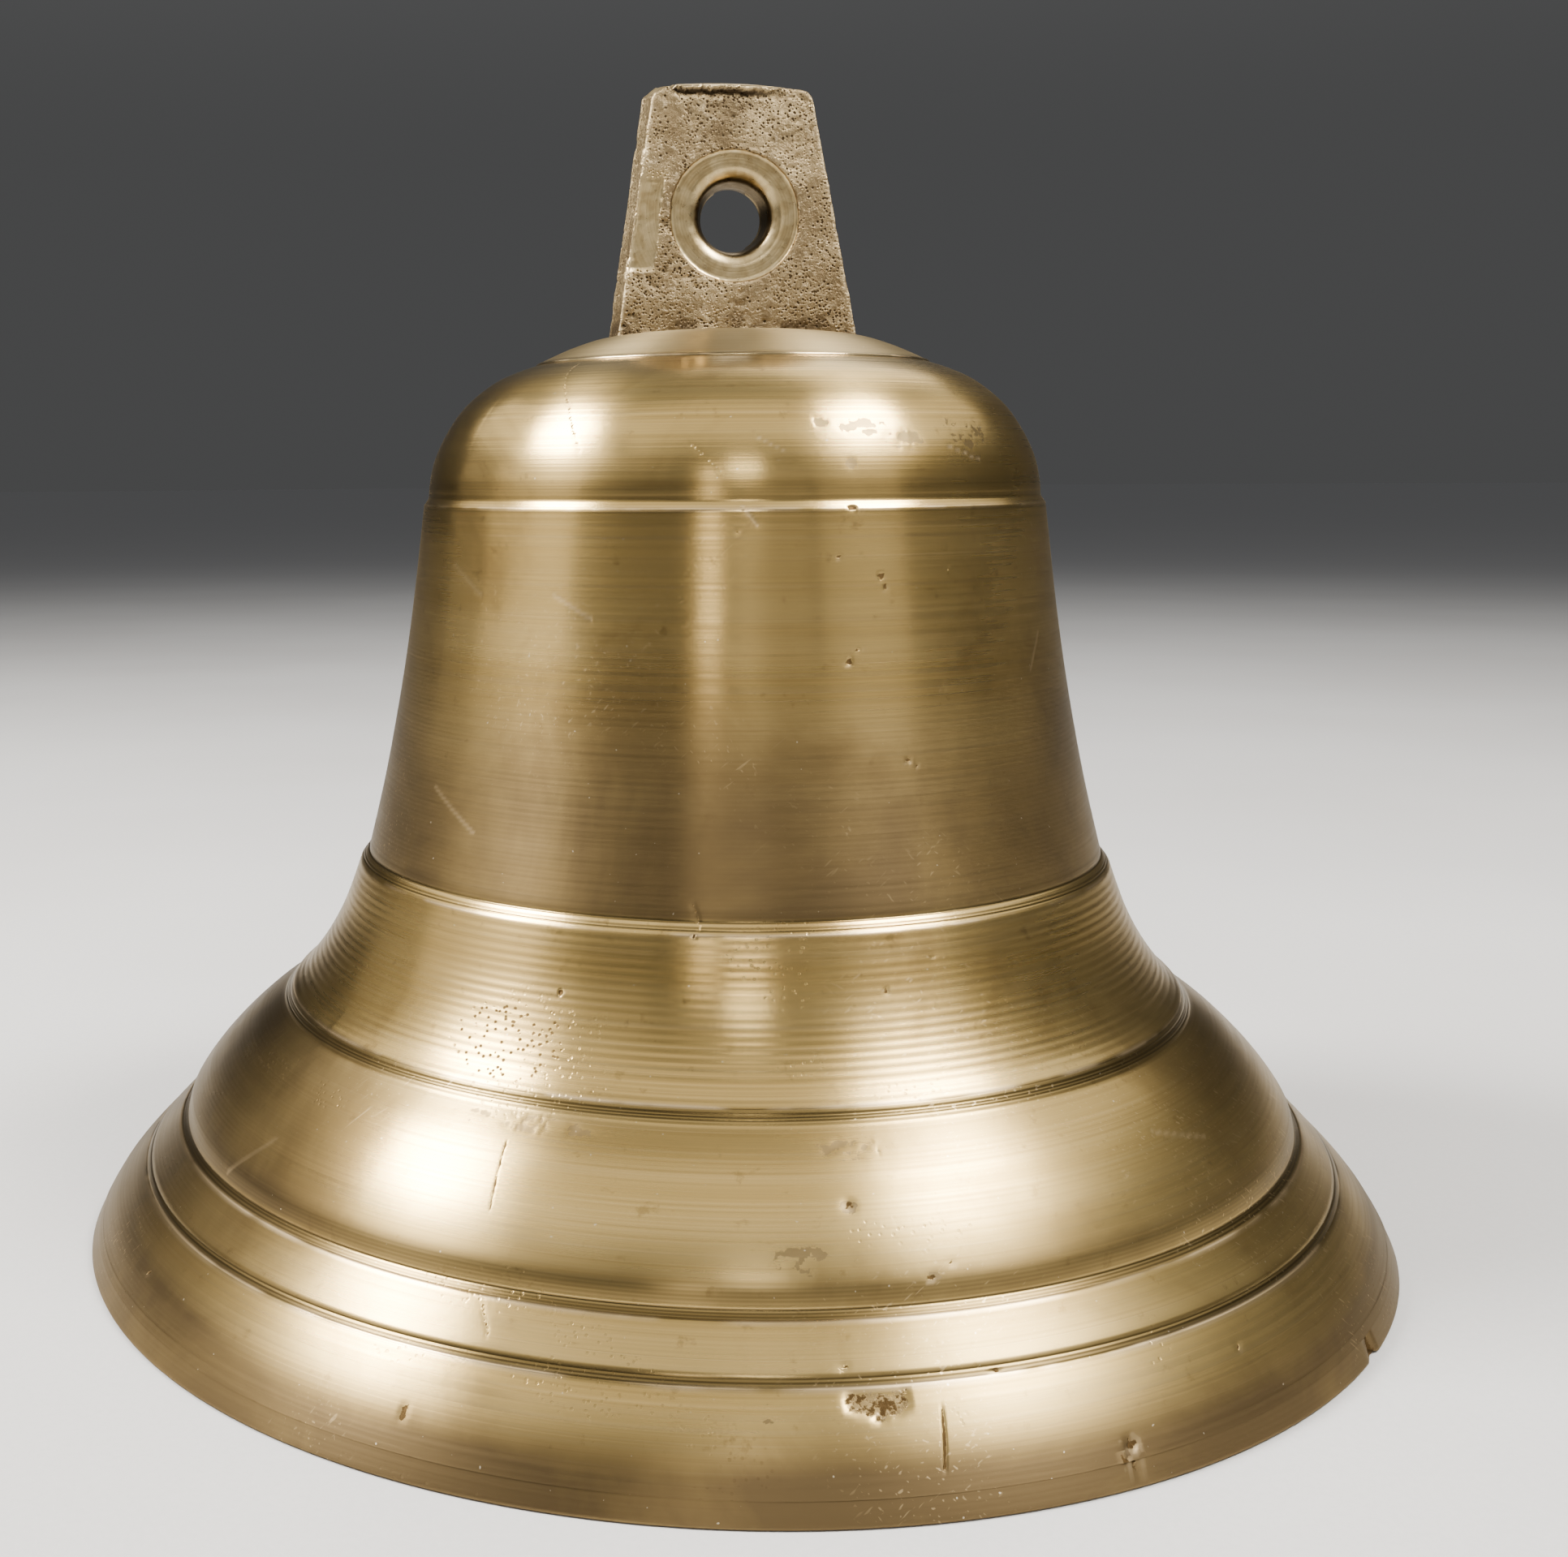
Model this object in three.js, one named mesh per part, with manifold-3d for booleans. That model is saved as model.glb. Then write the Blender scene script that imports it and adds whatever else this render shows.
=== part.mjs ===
// A ship's bell of the 200 mm (8 inch) size: one brass casting, turned outside, with a cast lug on its crown,
// and the clapper gear inside it. Millimetres, +Z up. The origin is the centre of the mouth, on the rim's plane.
// X runs along the lug's width and is the way the clapper swings.
// Y runs through the lug's hole and along the pivot pin.
import * as THREE from "three";
import { mergeVertices } from "three/addons/utils/BufferGeometryUtils.js";
import Module from "manifold-3d";

const wasm = await Module();
wasm.setup();

// ---- Driving dimensions ----

const GAP = 0.3; // left between pieces that touch, and round a thread
const PIN_PLAY = 0.1; // round the pivot pin
const BELL_SIDES = 56; // sides of the round casting
const SMALL_SIDES = 24; // sides of the small round pieces

// The casting outside, from the rim upwards. Each moulding is an edge, [radius, height].
const MOUTH_RADIUS = 100;
const RIM_ROUNDING = 1;
const LIP_TOP = [91.4, 11.9];
const BAND_FOOT = [90.6, 13.3];
const BAND_TOP = [86.3, 17.7];
const BOW_FOOT = [84.8, 19.3];
const BOW_TOP = [70.2, 35.2];
const FLARE_FOOT = [68.7, 37.4];
const FLARE_TOP = [57.8, 56];
const WAIST_FOOT = [56.5, 57.6];
const WAIST_TOP = [47, 110.1];
const SHOULDER_FOOT = [46.4, 110.9];
const SHOULDER_TOP = [29.8, 130.6];
const CAP_FOOT = [29.2, 131];
const CROWN_HEIGHT = 136.2;

// The casting inside, from the rim upwards.
const RIM_INNER_RADIUS = 95.5;
const BOW_INSIDE = [80.5, 12.5];
const FLARE_INSIDE = [60.5, 34];
const WAIST_INSIDE = [50, 62];
const SHOULDER_INSIDE = [42.2, 108];
const CROWN_INSIDE = [26, 125.5];
const BOSS_RADIUS = 13;
const BOSS_FACE_HEIGHT = 126.8; // the faced spot that the staple's washer bears on

// The lug: a tapered block with drafted sides, spot-faced round a hole that narrows to its middle.
const LUG_HALF_THICKNESS = { foot: 6.9, top: 5.7 };
const LUG_FACE_HALF_WIDTH = { foot: 17.5, top: 12 };
const LUG_DRAFT = 0.8; // how far the sides stand out at the parting line, halfway through
const LUG_LAND = 0.6; // half the width of the parting line's flat
const LUG_SIDES_TOP = 168.3;
const LUG_HEIGHT = 172.3;
const LUG_HOLE_HEIGHT = 152.1;
const LUG_HOLE_RADIUS = { waist: 4.5, throat: 5.2, mouth: 6.6 };
const LUG_MOUTH_DEPTH = 1.6;
const SPOT_FACE_RADIUS = 9.6;
const SPOT_FACE_SEAT = 5.7; // from the middle plane to the seat, on each side

// The staple: an M8 stem screwed up into the crown, with a fork below it for the clapper's eye.
const STEM_RADIUS = 3.9;
const STEM_HOLE_TOP = 141;
const STEM_TOP = 140;
const STAPLE_WASHER = { radius: 10.5, thickness: 1.6 };
const STAPLE_NUT = { acrossFlats: 13, thickness: 5 };
const FORK_BLOCK_THICKNESS = 3.6;
const FORK_CHEEK = { thickness: 3.4, radius: 6.4 };

// The pivot: a headed pin of 6 mm with a washer and a 1.6 mm split pin.
const PIVOT_HEIGHT = 109;
const PIN_RADIUS = 3;
const PIN_HEAD = { radius: 4.8, thickness: 2.4 };
const PIN_WASHER = { radius: 5.6, thickness: 1 };
const PIN_END = 2.4; // what the pin stands out beyond the middle of its split pin
const SPLIT_PIN = { legRadius: 0.8, wireRadius: 0.5, loopRadius: 1.7, endLength: 3.4, spread: 52 };

// The clapper: an eye on a tapered shank with an M6 thread below, the ball and its lock nut on the thread,
// and an eye nut for the lanyard at the foot.
const EYE = { radius: 6.4, thickness: 6 };
const SHANK_RADIUS = { top: 2.8, foot: 4.4 };
const SHANK_FOOT = 45;
const THREAD_RADIUS = 3;
const THREAD_END = 11.4;
const BALL = { radius: 13, height: 25.8, flat: 12 }; // flat: from the centre to the faces above and below
const BALL_NUT = { acrossFlats: 10, thickness: 4.6 };
const LANYARD_EYE = { radius: 4.4, holeRadius: 2.3, height: 7.6, thickness: 4.4 };
const LANYARD_COLLAR = { radius: 4.9, thickness: 2.8 };

// ---- Materials ----

const turnedBrass = new THREE.MeshStandardMaterial({ color: 0xa08a5a, roughness: 0.36, metalness: 1 });
const fittingBrass = new THREE.MeshStandardMaterial({ color: 0xa38b52, roughness: 0.4, metalness: 1 });
const ballBrass = new THREE.MeshStandardMaterial({ color: 0xb2975a, roughness: 0.28, metalness: 1 });
const stainlessSteel = new THREE.MeshStandardMaterial({ color: 0x9a9a96, roughness: 0.35, metalness: 1 });

// ---- Helpers ----

// A closed geometry as a solid that can be joined and cut.
function solid(geometry) {
  const bare = new THREE.BufferGeometry();
  bare.setAttribute("position", geometry.getAttribute("position"));
  if (geometry.index) bare.setIndex(geometry.index);
  const merged = mergeVertices(bare, 1e-4);
  const mesh = new wasm.Mesh({
    numProp: 3,
    vertProperties: merged.getAttribute("position").array,
    triVerts: new Uint32Array(merged.index.array),
  });
  return new wasm.Manifold(mesh);
}

// A solid turned about Z from an anticlockwise outline of [radius, height] points.
function turned(outline, sides = SMALL_SIDES) {
  const points = outline.map(([radius, height]) => new THREE.Vector2(radius, height));
  return solid(new THREE.LatheGeometry(points, sides).rotateX(Math.PI / 2));
}

// A plain round bar along Z.
function bar(radius, bottom, top, sides = SMALL_SIDES) {
  return turned([[0, bottom], [radius, bottom], [radius, top], [0, top]], sides);
}

// A round bar along Y at some height, with its middle at the given Y.
function crossBar(radius, length, height, middle = 0) {
  return solid(new THREE.CylinderGeometry(radius, radius, length, SMALL_SIDES).translate(0, middle, height));
}

// A block centred on the Z axis.
function block(width, depth, bottom, top) {
  const height = top - bottom;
  return solid(new THREE.BoxGeometry(width, depth, height).translate(0, 0, bottom + height / 2));
}

// Points of a smooth curve through [radius, height] points, without its first point.
function curveAfterStart(points, steps) {
  const curve = new THREE.SplineCurve(points.map(([x, y]) => new THREE.Vector2(x, y)));
  return curve.getSpacedPoints(steps).slice(1).map((p) => [p.x, p.y]);
}

// A hexagon nut with its corners turned off at both ends.
function nut(acrossFlats, threadRadius, bottom, top) {
  const corner = acrossFlats / Math.sqrt(3);
  const flat = acrossFlats / 2;
  const fall = (corner - flat) / 2;
  const turnedOff = turned([
    [0, bottom],
    [flat, bottom],
    [corner + 0.1, bottom + fall],
    [corner + 0.1, top - fall],
    [flat, top],
    [0, top],
  ]);
  return bar(corner, bottom, top, 6)
    .intersect(turnedOff)
    .subtract(bar(threadRadius + GAP, bottom - 1, top + 1));
}

function piece(name, shape, material) {
  const { vertProperties, triVerts } = shape.getMesh();
  const geometry = new THREE.BufferGeometry();
  geometry.setAttribute("position", new THREE.BufferAttribute(vertProperties, 3));
  geometry.setIndex(new THREE.BufferAttribute(triVerts, 1));
  geometry.computeVertexNormals();
  const mesh = new THREE.Mesh(geometry, material);
  mesh.name = name;
  return mesh;
}

// ---- The bell casting ----

function outsideOutline() {
  const rim = MOUTH_RADIUS - RIM_ROUNDING;
  const rimEdge = [MOUTH_RADIUS, RIM_ROUNDING];
  return [
    [rim, 0],
    [rim + 0.7 * RIM_ROUNDING, 0.3 * RIM_ROUNDING],
    rimEdge,
    ...curveAfterStart([rimEdge, [96.3, 6.6], LIP_TOP], 3),
    BAND_FOOT,
    BAND_TOP,
    ...curveAfterStart([BAND_TOP, [85.2, 18.3], BOW_FOOT], 2),
    ...curveAfterStart([BOW_FOOT, [83.6, 22.5], [78.3, 28.6], BOW_TOP], 6),
    FLARE_FOOT,
    ...curveAfterStart([FLARE_FOOT, [64.3, 42.2], [60.4, 49], FLARE_TOP], 5),
    WAIST_FOOT,
    ...curveAfterStart([WAIST_FOOT, [51.2, 82], WAIST_TOP], 3),
    SHOULDER_FOOT,
    ...curveAfterStart([SHOULDER_FOOT, [43.6, 120.7], [37.9, 127.2], SHOULDER_TOP], 7),
    CAP_FOOT,
    ...curveAfterStart([CAP_FOOT, [24.3, 133.3], [17, 135.1], [8, 136], [0, CROWN_HEIGHT]], 4),
  ];
}

function insideOutline() {
  const bossFoot = [BOSS_RADIUS + 0.8, BOSS_FACE_HEIGHT - 0.8];
  const rimInside = [RIM_INNER_RADIUS, 0];
  return [
    [0, BOSS_FACE_HEIGHT],
    [BOSS_RADIUS, BOSS_FACE_HEIGHT],
    bossFoot,
    ...curveAfterStart([bossFoot, CROWN_INSIDE, [38.2, 118.6], SHOULDER_INSIDE], 5),
    ...curveAfterStart([SHOULDER_INSIDE, WAIST_INSIDE, FLARE_INSIDE, BOW_INSIDE, rimInside], 10),
  ];
}

// The lug's outline on its broad face: a chamfer at one top corner, a round at the other, a crowned top.
function lugOutline() {
  const foot = CROWN_HEIGHT - 7;
  const topHalf = LUG_FACE_HALF_WIDTH.top;
  const slope = (LUG_FACE_HALF_WIDTH.foot - topHalf) / (LUG_SIDES_TOP - CROWN_HEIGHT);
  const footHalf = LUG_FACE_HALF_WIDTH.foot + slope * (CROWN_HEIGHT - foot);
  const shoulder = LUG_HEIGHT - LUG_DRAFT - 1;
  const shape = new THREE.Shape();
  shape.moveTo(-footHalf, foot);
  shape.lineTo(footHalf, foot);
  shape.lineTo(topHalf, LUG_SIDES_TOP);
  shape.quadraticCurveTo(topHalf - 0.3, shoulder - 0.2, topHalf - 2, shoulder);
  shape.quadraticCurveTo(0, LUG_HEIGHT - LUG_DRAFT + 1, -topHalf + 2.3, shoulder);
  shape.lineTo(-topHalf, LUG_SIDES_TOP + 0.6);
  shape.closePath();
  return shape;
}

function lug() {
  const bevelThickness = LUG_HALF_THICKNESS.foot - LUG_LAND;
  const geometry = new THREE.ExtrudeGeometry(lugOutline(), {
    depth: 2 * LUG_LAND,
    bevelThickness,
    bevelSize: LUG_DRAFT,
    bevelSegments: 1,
    curveSegments: 5,
  });
  geometry.translate(0, 0, -LUG_LAND).rotateX(Math.PI / 2);
  const position = geometry.getAttribute("position");
  for (let i = 0; i < position.count; i += 1) {
    const rise = (position.getZ(i) - CROWN_HEIGHT) / (LUG_HEIGHT - CROWN_HEIGHT);
    const thinning = 1 - rise * (1 - LUG_HALF_THICKNESS.top / LUG_HALF_THICKNESS.foot);
    position.setY(i, position.getY(i) * thinning);
  }
  return solid(geometry);
}

// What the drill, the countersink and the spot-facer take out of the lug, on the Y axis at the hole's height.
function lugHole() {
  const half = [
    [LUG_HOLE_RADIUS.throat, SPOT_FACE_SEAT - LUG_MOUTH_DEPTH],
    [LUG_HOLE_RADIUS.mouth - 0.5, SPOT_FACE_SEAT - 0.4],
    [LUG_HOLE_RADIUS.mouth, SPOT_FACE_SEAT],
    [SPOT_FACE_RADIUS, SPOT_FACE_SEAT],
    [SPOT_FACE_RADIUS, LUG_HALF_THICKNESS.foot + 2],
    [0, LUG_HALF_THICKNESS.foot + 2],
  ];
  const mirrored = half.map(([radius, height]) => [radius, -height]).reverse();
  return turned([...mirrored, [LUG_HOLE_RADIUS.waist, 0], ...half], 36)
    .rotate([90, 0, 0])
    .translate([0, 0, LUG_HOLE_HEIGHT]);
}

function bellCasting() {
  const inside = insideOutline();
  const shell = turned([inside.at(-1), ...outsideOutline(), ...inside], BELL_SIDES);
  const tappedHole = bar(STEM_RADIUS + GAP, BOSS_FACE_HEIGHT - 1, STEM_HOLE_TOP);
  return shell.add(lug()).subtract(lugHole()).subtract(tappedHole);
}

// ---- The staple and what holds it ----

const washerTop = BOSS_FACE_HEIGHT - GAP;
const washerBottom = washerTop - STAPLE_WASHER.thickness;
const nutTop = washerBottom - GAP;
const nutBottom = nutTop - STAPLE_NUT.thickness;
const forkTop = nutBottom - GAP;
const forkGap = EYE.thickness + 2 * GAP;
const forkWidth = forkGap + 2 * FORK_CHEEK.thickness;

function crownStaple() {
  const depth = 2 * FORK_CHEEK.radius;
  return crossBar(FORK_CHEEK.radius, forkWidth, PIVOT_HEIGHT)
    .add(block(depth, forkWidth, PIVOT_HEIGHT, forkTop))
    .subtract(block(2 * depth, forkGap, PIVOT_HEIGHT - depth, forkTop - FORK_BLOCK_THICKNESS))
    .subtract(crossBar(PIN_RADIUS + PIN_PLAY, 2 * forkWidth, PIVOT_HEIGHT))
    .add(bar(STEM_RADIUS, forkTop - 1, STEM_TOP));
}

function stapleWasher() {
  return bar(STAPLE_WASHER.radius, washerBottom, washerTop).subtract(
    bar(STEM_RADIUS + GAP, washerBottom - 1, washerTop + 1),
  );
}

function stapleNut() {
  return nut(STAPLE_NUT.acrossFlats, STEM_RADIUS, nutBottom, nutTop);
}

// ---- The pivot ----

const headFace = -forkWidth / 2 - GAP;
const pinWasherMiddle = forkWidth / 2 + GAP + PIN_WASHER.thickness / 2;
const splitPinPlace = pinWasherMiddle + PIN_WASHER.thickness / 2 + GAP + SPLIT_PIN.legRadius;

function pivotPin() {
  const length = splitPinPlace + PIN_END - headFace;
  const crossHole = bar(SPLIT_PIN.legRadius + GAP, PIVOT_HEIGHT - 5, PIVOT_HEIGHT + 5, 12);
  return crossBar(PIN_RADIUS, length, PIVOT_HEIGHT, headFace + length / 2)
    .add(crossBar(PIN_HEAD.radius, PIN_HEAD.thickness, PIVOT_HEIGHT, headFace - PIN_HEAD.thickness / 2))
    .subtract(crossHole.translate([0, splitPinPlace, 0]));
}

function pivotWasher() {
  return crossBar(PIN_WASHER.radius, PIN_WASHER.thickness, PIVOT_HEIGHT, pinWasherMiddle).subtract(
    crossBar(PIN_RADIUS + GAP, 2 * PIN_WASHER.thickness, PIVOT_HEIGHT, pinWasherMiddle),
  );
}

// A ring above the pin, the closed legs through it, and the two ends spread below it.
function splitPin() {
  const { legRadius, wireRadius, loopRadius, endLength, spread } = SPLIT_PIN;
  const legBottom = -PIN_RADIUS - 1;
  const legTop = PIN_RADIUS + 0.5;
  const ring = solid(
    new THREE.TorusGeometry(loopRadius, wireRadius, 8, 20)
      .rotateX(Math.PI / 2)
      .translate(0, 0, legTop + loopRadius),
  );
  const ends = [-spread, spread].map((angle) =>
    bar(wireRadius, -endLength, 0, 12).rotate([0, angle, 0]).translate([0, 0, legBottom]),
  );
  return bar(legRadius, legBottom - 0.4, legTop + 0.3, 12)
    .add(ring)
    .add(ends[0])
    .add(ends[1])
    .translate([0, splitPinPlace, PIVOT_HEIGHT]);
}

// ---- The clapper ----

const ballTop = BALL.height + BALL.flat;
const ballBottom = BALL.height - BALL.flat;
const collarTop = ballBottom - GAP;

function clapperShank() {
  const shank = turned([
    [0, SHANK_FOOT],
    [SHANK_RADIUS.foot - 0.6, SHANK_FOOT],
    [SHANK_RADIUS.foot, SHANK_FOOT + 0.6],
    [SHANK_RADIUS.top, PIVOT_HEIGHT - 4],
    [0, PIVOT_HEIGHT - 4],
  ]);
  return shank
    .add(crossBar(EYE.radius, EYE.thickness, PIVOT_HEIGHT))
    .subtract(crossBar(PIN_RADIUS + PIN_PLAY, 2 * EYE.thickness, PIVOT_HEIGHT))
    .add(bar(THREAD_RADIUS, THREAD_END, SHANK_FOOT + 1));
}

function clapperBall() {
  const flatAngle = Math.asin(BALL.flat / BALL.radius);
  const steps = 12;
  const arc = Array.from({ length: steps + 1 }, (_, i) => {
    const angle = flatAngle * ((2 * i) / steps - 1);
    return [BALL.radius * Math.cos(angle), BALL.height + BALL.radius * Math.sin(angle)];
  });
  return turned([[0, ballBottom], ...arc, [0, ballTop]], 32).subtract(
    bar(THREAD_RADIUS + GAP, ballBottom - 1, ballTop + 1),
  );
}

function ballNut() {
  const bottom = ballTop + GAP;
  return nut(BALL_NUT.acrossFlats, THREAD_RADIUS, bottom, bottom + BALL_NUT.thickness);
}

function lanyardEye() {
  const { radius, thickness, height, holeRadius } = LANYARD_EYE;
  const collar = turned([
    [0, collarTop - LANYARD_COLLAR.thickness - 1.5],
    [LANYARD_COLLAR.radius - 2, collarTop - LANYARD_COLLAR.thickness - 1.5],
    [LANYARD_COLLAR.radius, collarTop - LANYARD_COLLAR.thickness],
    [LANYARD_COLLAR.radius, collarTop],
    [0, collarTop],
  ]);
  return collar
    .add(crossBar(radius, thickness, height))
    .subtract(crossBar(holeRadius, 3 * thickness, height))
    .subtract(bar(THREAD_RADIUS + GAP, THREAD_END - GAP, collarTop + 1));
}

// ---- Assembly ----

const assembly = new THREE.Group();
assembly.name = "ship_bell";
assembly.add(
  piece("bell_casting", bellCasting(), turnedBrass),
  piece("staple_washer", stapleWasher(), fittingBrass),
  piece("staple_nut", stapleNut(), fittingBrass),
  piece("crown_staple", crownStaple(), fittingBrass),
  piece("pivot_pin", pivotPin(), stainlessSteel),
  piece("pivot_washer", pivotWasher(), stainlessSteel),
  piece("split_pin", splitPin(), stainlessSteel),
  piece("clapper_shank", clapperShank(), fittingBrass),
  piece("ball_nut", ballNut(), fittingBrass),
  piece("clapper_ball", clapperBall(), ballBrass),
  piece("lanyard_eye", lanyardEye(), fittingBrass),
);

export default assembly;
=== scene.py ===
"""A turned brass ship's bell with its clapper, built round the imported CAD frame. Lengths are in millimetres
until the meshes are written. Angles on the bell are in degrees from the front (-Y), positive towards +X."""
import math

import bmesh
import bpy
import numpy as np
from mathutils import Matrix, Vector


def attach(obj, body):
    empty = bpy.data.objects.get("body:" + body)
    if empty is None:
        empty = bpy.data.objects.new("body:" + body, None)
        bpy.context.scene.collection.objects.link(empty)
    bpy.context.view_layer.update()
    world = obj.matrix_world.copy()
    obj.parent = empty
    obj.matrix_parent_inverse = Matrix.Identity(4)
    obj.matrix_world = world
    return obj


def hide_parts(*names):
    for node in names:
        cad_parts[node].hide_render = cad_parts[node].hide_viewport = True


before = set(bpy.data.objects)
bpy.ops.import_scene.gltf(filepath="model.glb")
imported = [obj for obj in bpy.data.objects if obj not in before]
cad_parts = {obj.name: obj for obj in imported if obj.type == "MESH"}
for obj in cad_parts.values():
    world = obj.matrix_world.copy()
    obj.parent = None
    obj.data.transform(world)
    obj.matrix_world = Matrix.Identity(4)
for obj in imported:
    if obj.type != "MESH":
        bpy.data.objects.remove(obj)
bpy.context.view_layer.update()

MM = 0.001

# ---------------------------------------------------------------- camera, lights, floor

CAMERA_YAW, CAMERA_PITCH, CAMERA_ROLL = -4.45, 7.72, -0.41
CAMERA_TURN = -7.0  # how far round the bell the camera stands, towards -X
CAMERA_DISTANCE, CAMERA_HEIGHT = 290.9, 115.1
LENS, SENSOR_WIDTH = 42.93, 36
SHIFT_X, SHIFT_Y = 0.1263, -0.0355


def linked(name, data):
    """A new object with this data, in the scene."""
    obj = bpy.data.objects.new(name, data)
    bpy.context.scene.collection.objects.link(obj)
    return obj


def place_camera():
    yaw, pitch, roll = (math.radians(a) for a in (CAMERA_YAW, CAMERA_PITCH, CAMERA_ROLL))
    forward = Vector((math.sin(yaw) * math.cos(pitch), math.cos(yaw) * math.cos(pitch), -math.sin(pitch)))
    level = Vector((math.cos(yaw), -math.sin(yaw), 0))
    upright = level.cross(forward)
    right = math.cos(roll) * level + math.sin(roll) * upright
    up = -math.sin(roll) * level + math.cos(roll) * upright
    pose = Matrix((right, up, -forward)).transposed().to_4x4()
    pose.translation = Vector((0, -CAMERA_DISTANCE, CAMERA_HEIGHT)) * MM
    data = bpy.data.cameras.new("camera")
    data.lens, data.sensor_width = LENS, SENSOR_WIDTH
    data.shift_x, data.shift_y = SHIFT_X, SHIFT_Y
    data.clip_start = 0.01
    camera = linked("camera", data)
    camera.matrix_world = Matrix.Rotation(math.radians(CAMERA_TURN), 4, "Z") @ pose
    bpy.context.scene.camera = camera


LIGHTS_AIM = Vector((0, 0, 0.07))


def soft_light(name, azimuth, elevation, distance, size, power, colour):
    """A soft box in metres. Azimuth is from the camera's side of the bell, positive to its right."""
    a, e = math.radians(azimuth + CAMERA_TURN), math.radians(elevation)
    towards = Vector((math.sin(a) * math.cos(e), -math.cos(a) * math.cos(e), math.sin(e)))
    place = towards * distance + LIGHTS_AIM
    data = bpy.data.lights.new(name, "AREA")
    data.shape = "RECTANGLE"
    data.size, data.size_y = size
    data.energy = power
    data.color = colour
    light = linked(name, data)
    turn = (LIGHTS_AIM - place).to_track_quat("-Z", "Y")
    light.matrix_world = Matrix.Translation(place) @ turn.to_matrix().to_4x4()
    light.visible_camera = False


OVERHEAD_STRENGTH = 0.34


def set_range(node, *limits):
    """From Min, From Max, To Min and To Max of a Map Range node."""
    for key, value in zip(("From Min", "From Max", "To Min", "To Max"), limits):
        node.inputs[key].default_value = value


def light_the_scene():
    warm, neutral = (1, 0.93, 0.84), (1, 0.97, 0.93)
    soft_light("left_box", -82, 46, 0.85, (0.24, 0.21), 19.0, neutral)
    soft_light("left_halo", -94, 38, 0.95, (1.3, 0.30), 1.9, neutral)
    soft_light("left_fill", -38, 33, 1.15, (0.50, 0.30), 0.13, warm)
    soft_light("right_box", 72, 55, 0.85, (0.30, 0.19), 14.5, neutral)
    soft_light("right_halo", 88, 44, 0.95, (1.5, 0.30), 1.8, neutral)
    soft_light("overhead_box", 2, 67, 1.2, (1.45, 0.62), 3.15, (1, 0.955, 0.87))
    soft_light("left_panel", -76, 14, 1.1, (0.78, 0.38), 0.90, warm)
    soft_light("far_left_panel", -108, 15, 1.1, (0.45, 0.40), 0.20, warm)
    soft_light("front_strip", -7, 15, 1.2, (0.13, 0.50), 0.68, warm)
    soft_light("front_panel", 15, 16, 1.25, (0.52, 0.42), 0.27, warm)
    soft_light("side_panel", 46, 15, 1.2, (0.66, 0.42), 0.39, warm)
    soft_light("centre_box", 5, 30, 1.1, (0.18, 0.12), 0.8, neutral)
    soft_light("back_box", 165, 50, 1.2, (0.6, 0.6), 4.0, neutral)
    world = bpy.data.worlds.new("world")
    bpy.context.scene.world = world
    world.use_nodes = True
    tree = world.node_tree
    background = tree.nodes["Background"]
    background.inputs["Color"].default_value = (0.98, 0.99, 1, 1)
    direction = tree.nodes.new("ShaderNodeTexCoord").outputs["Generated"]
    parts = tree.nodes.new("ShaderNodeSeparateXYZ")
    tree.links.new(direction, parts.inputs[0])
    # A room that is brightest overhead, and dim low down on the side that the bell is seen against.
    low = tree.nodes.new("ShaderNodeMapRange")
    tree.links.new(parts.outputs["Y"], low.inputs["Value"])
    set_range(low, 0.5, -0.8, 0.07, 0.09)
    rise = tree.nodes.new("ShaderNodeMapRange")
    rise.interpolation_type = "SMOOTHSTEP"
    tree.links.new(parts.outputs["Z"], rise.inputs["Value"])
    set_range(rise, 0.15, 0.85, 0.0, 1.0)
    level = tree.nodes.new("ShaderNodeMix")
    tree.links.new(rise.outputs[0], level.inputs[0])
    tree.links.new(low.outputs[0], level.inputs[2])
    level.inputs[3].default_value = OVERHEAD_STRENGTH
    tree.links.new(level.outputs[0], background.inputs["Strength"])


# ---------------------------------------------------------------- materials

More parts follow.
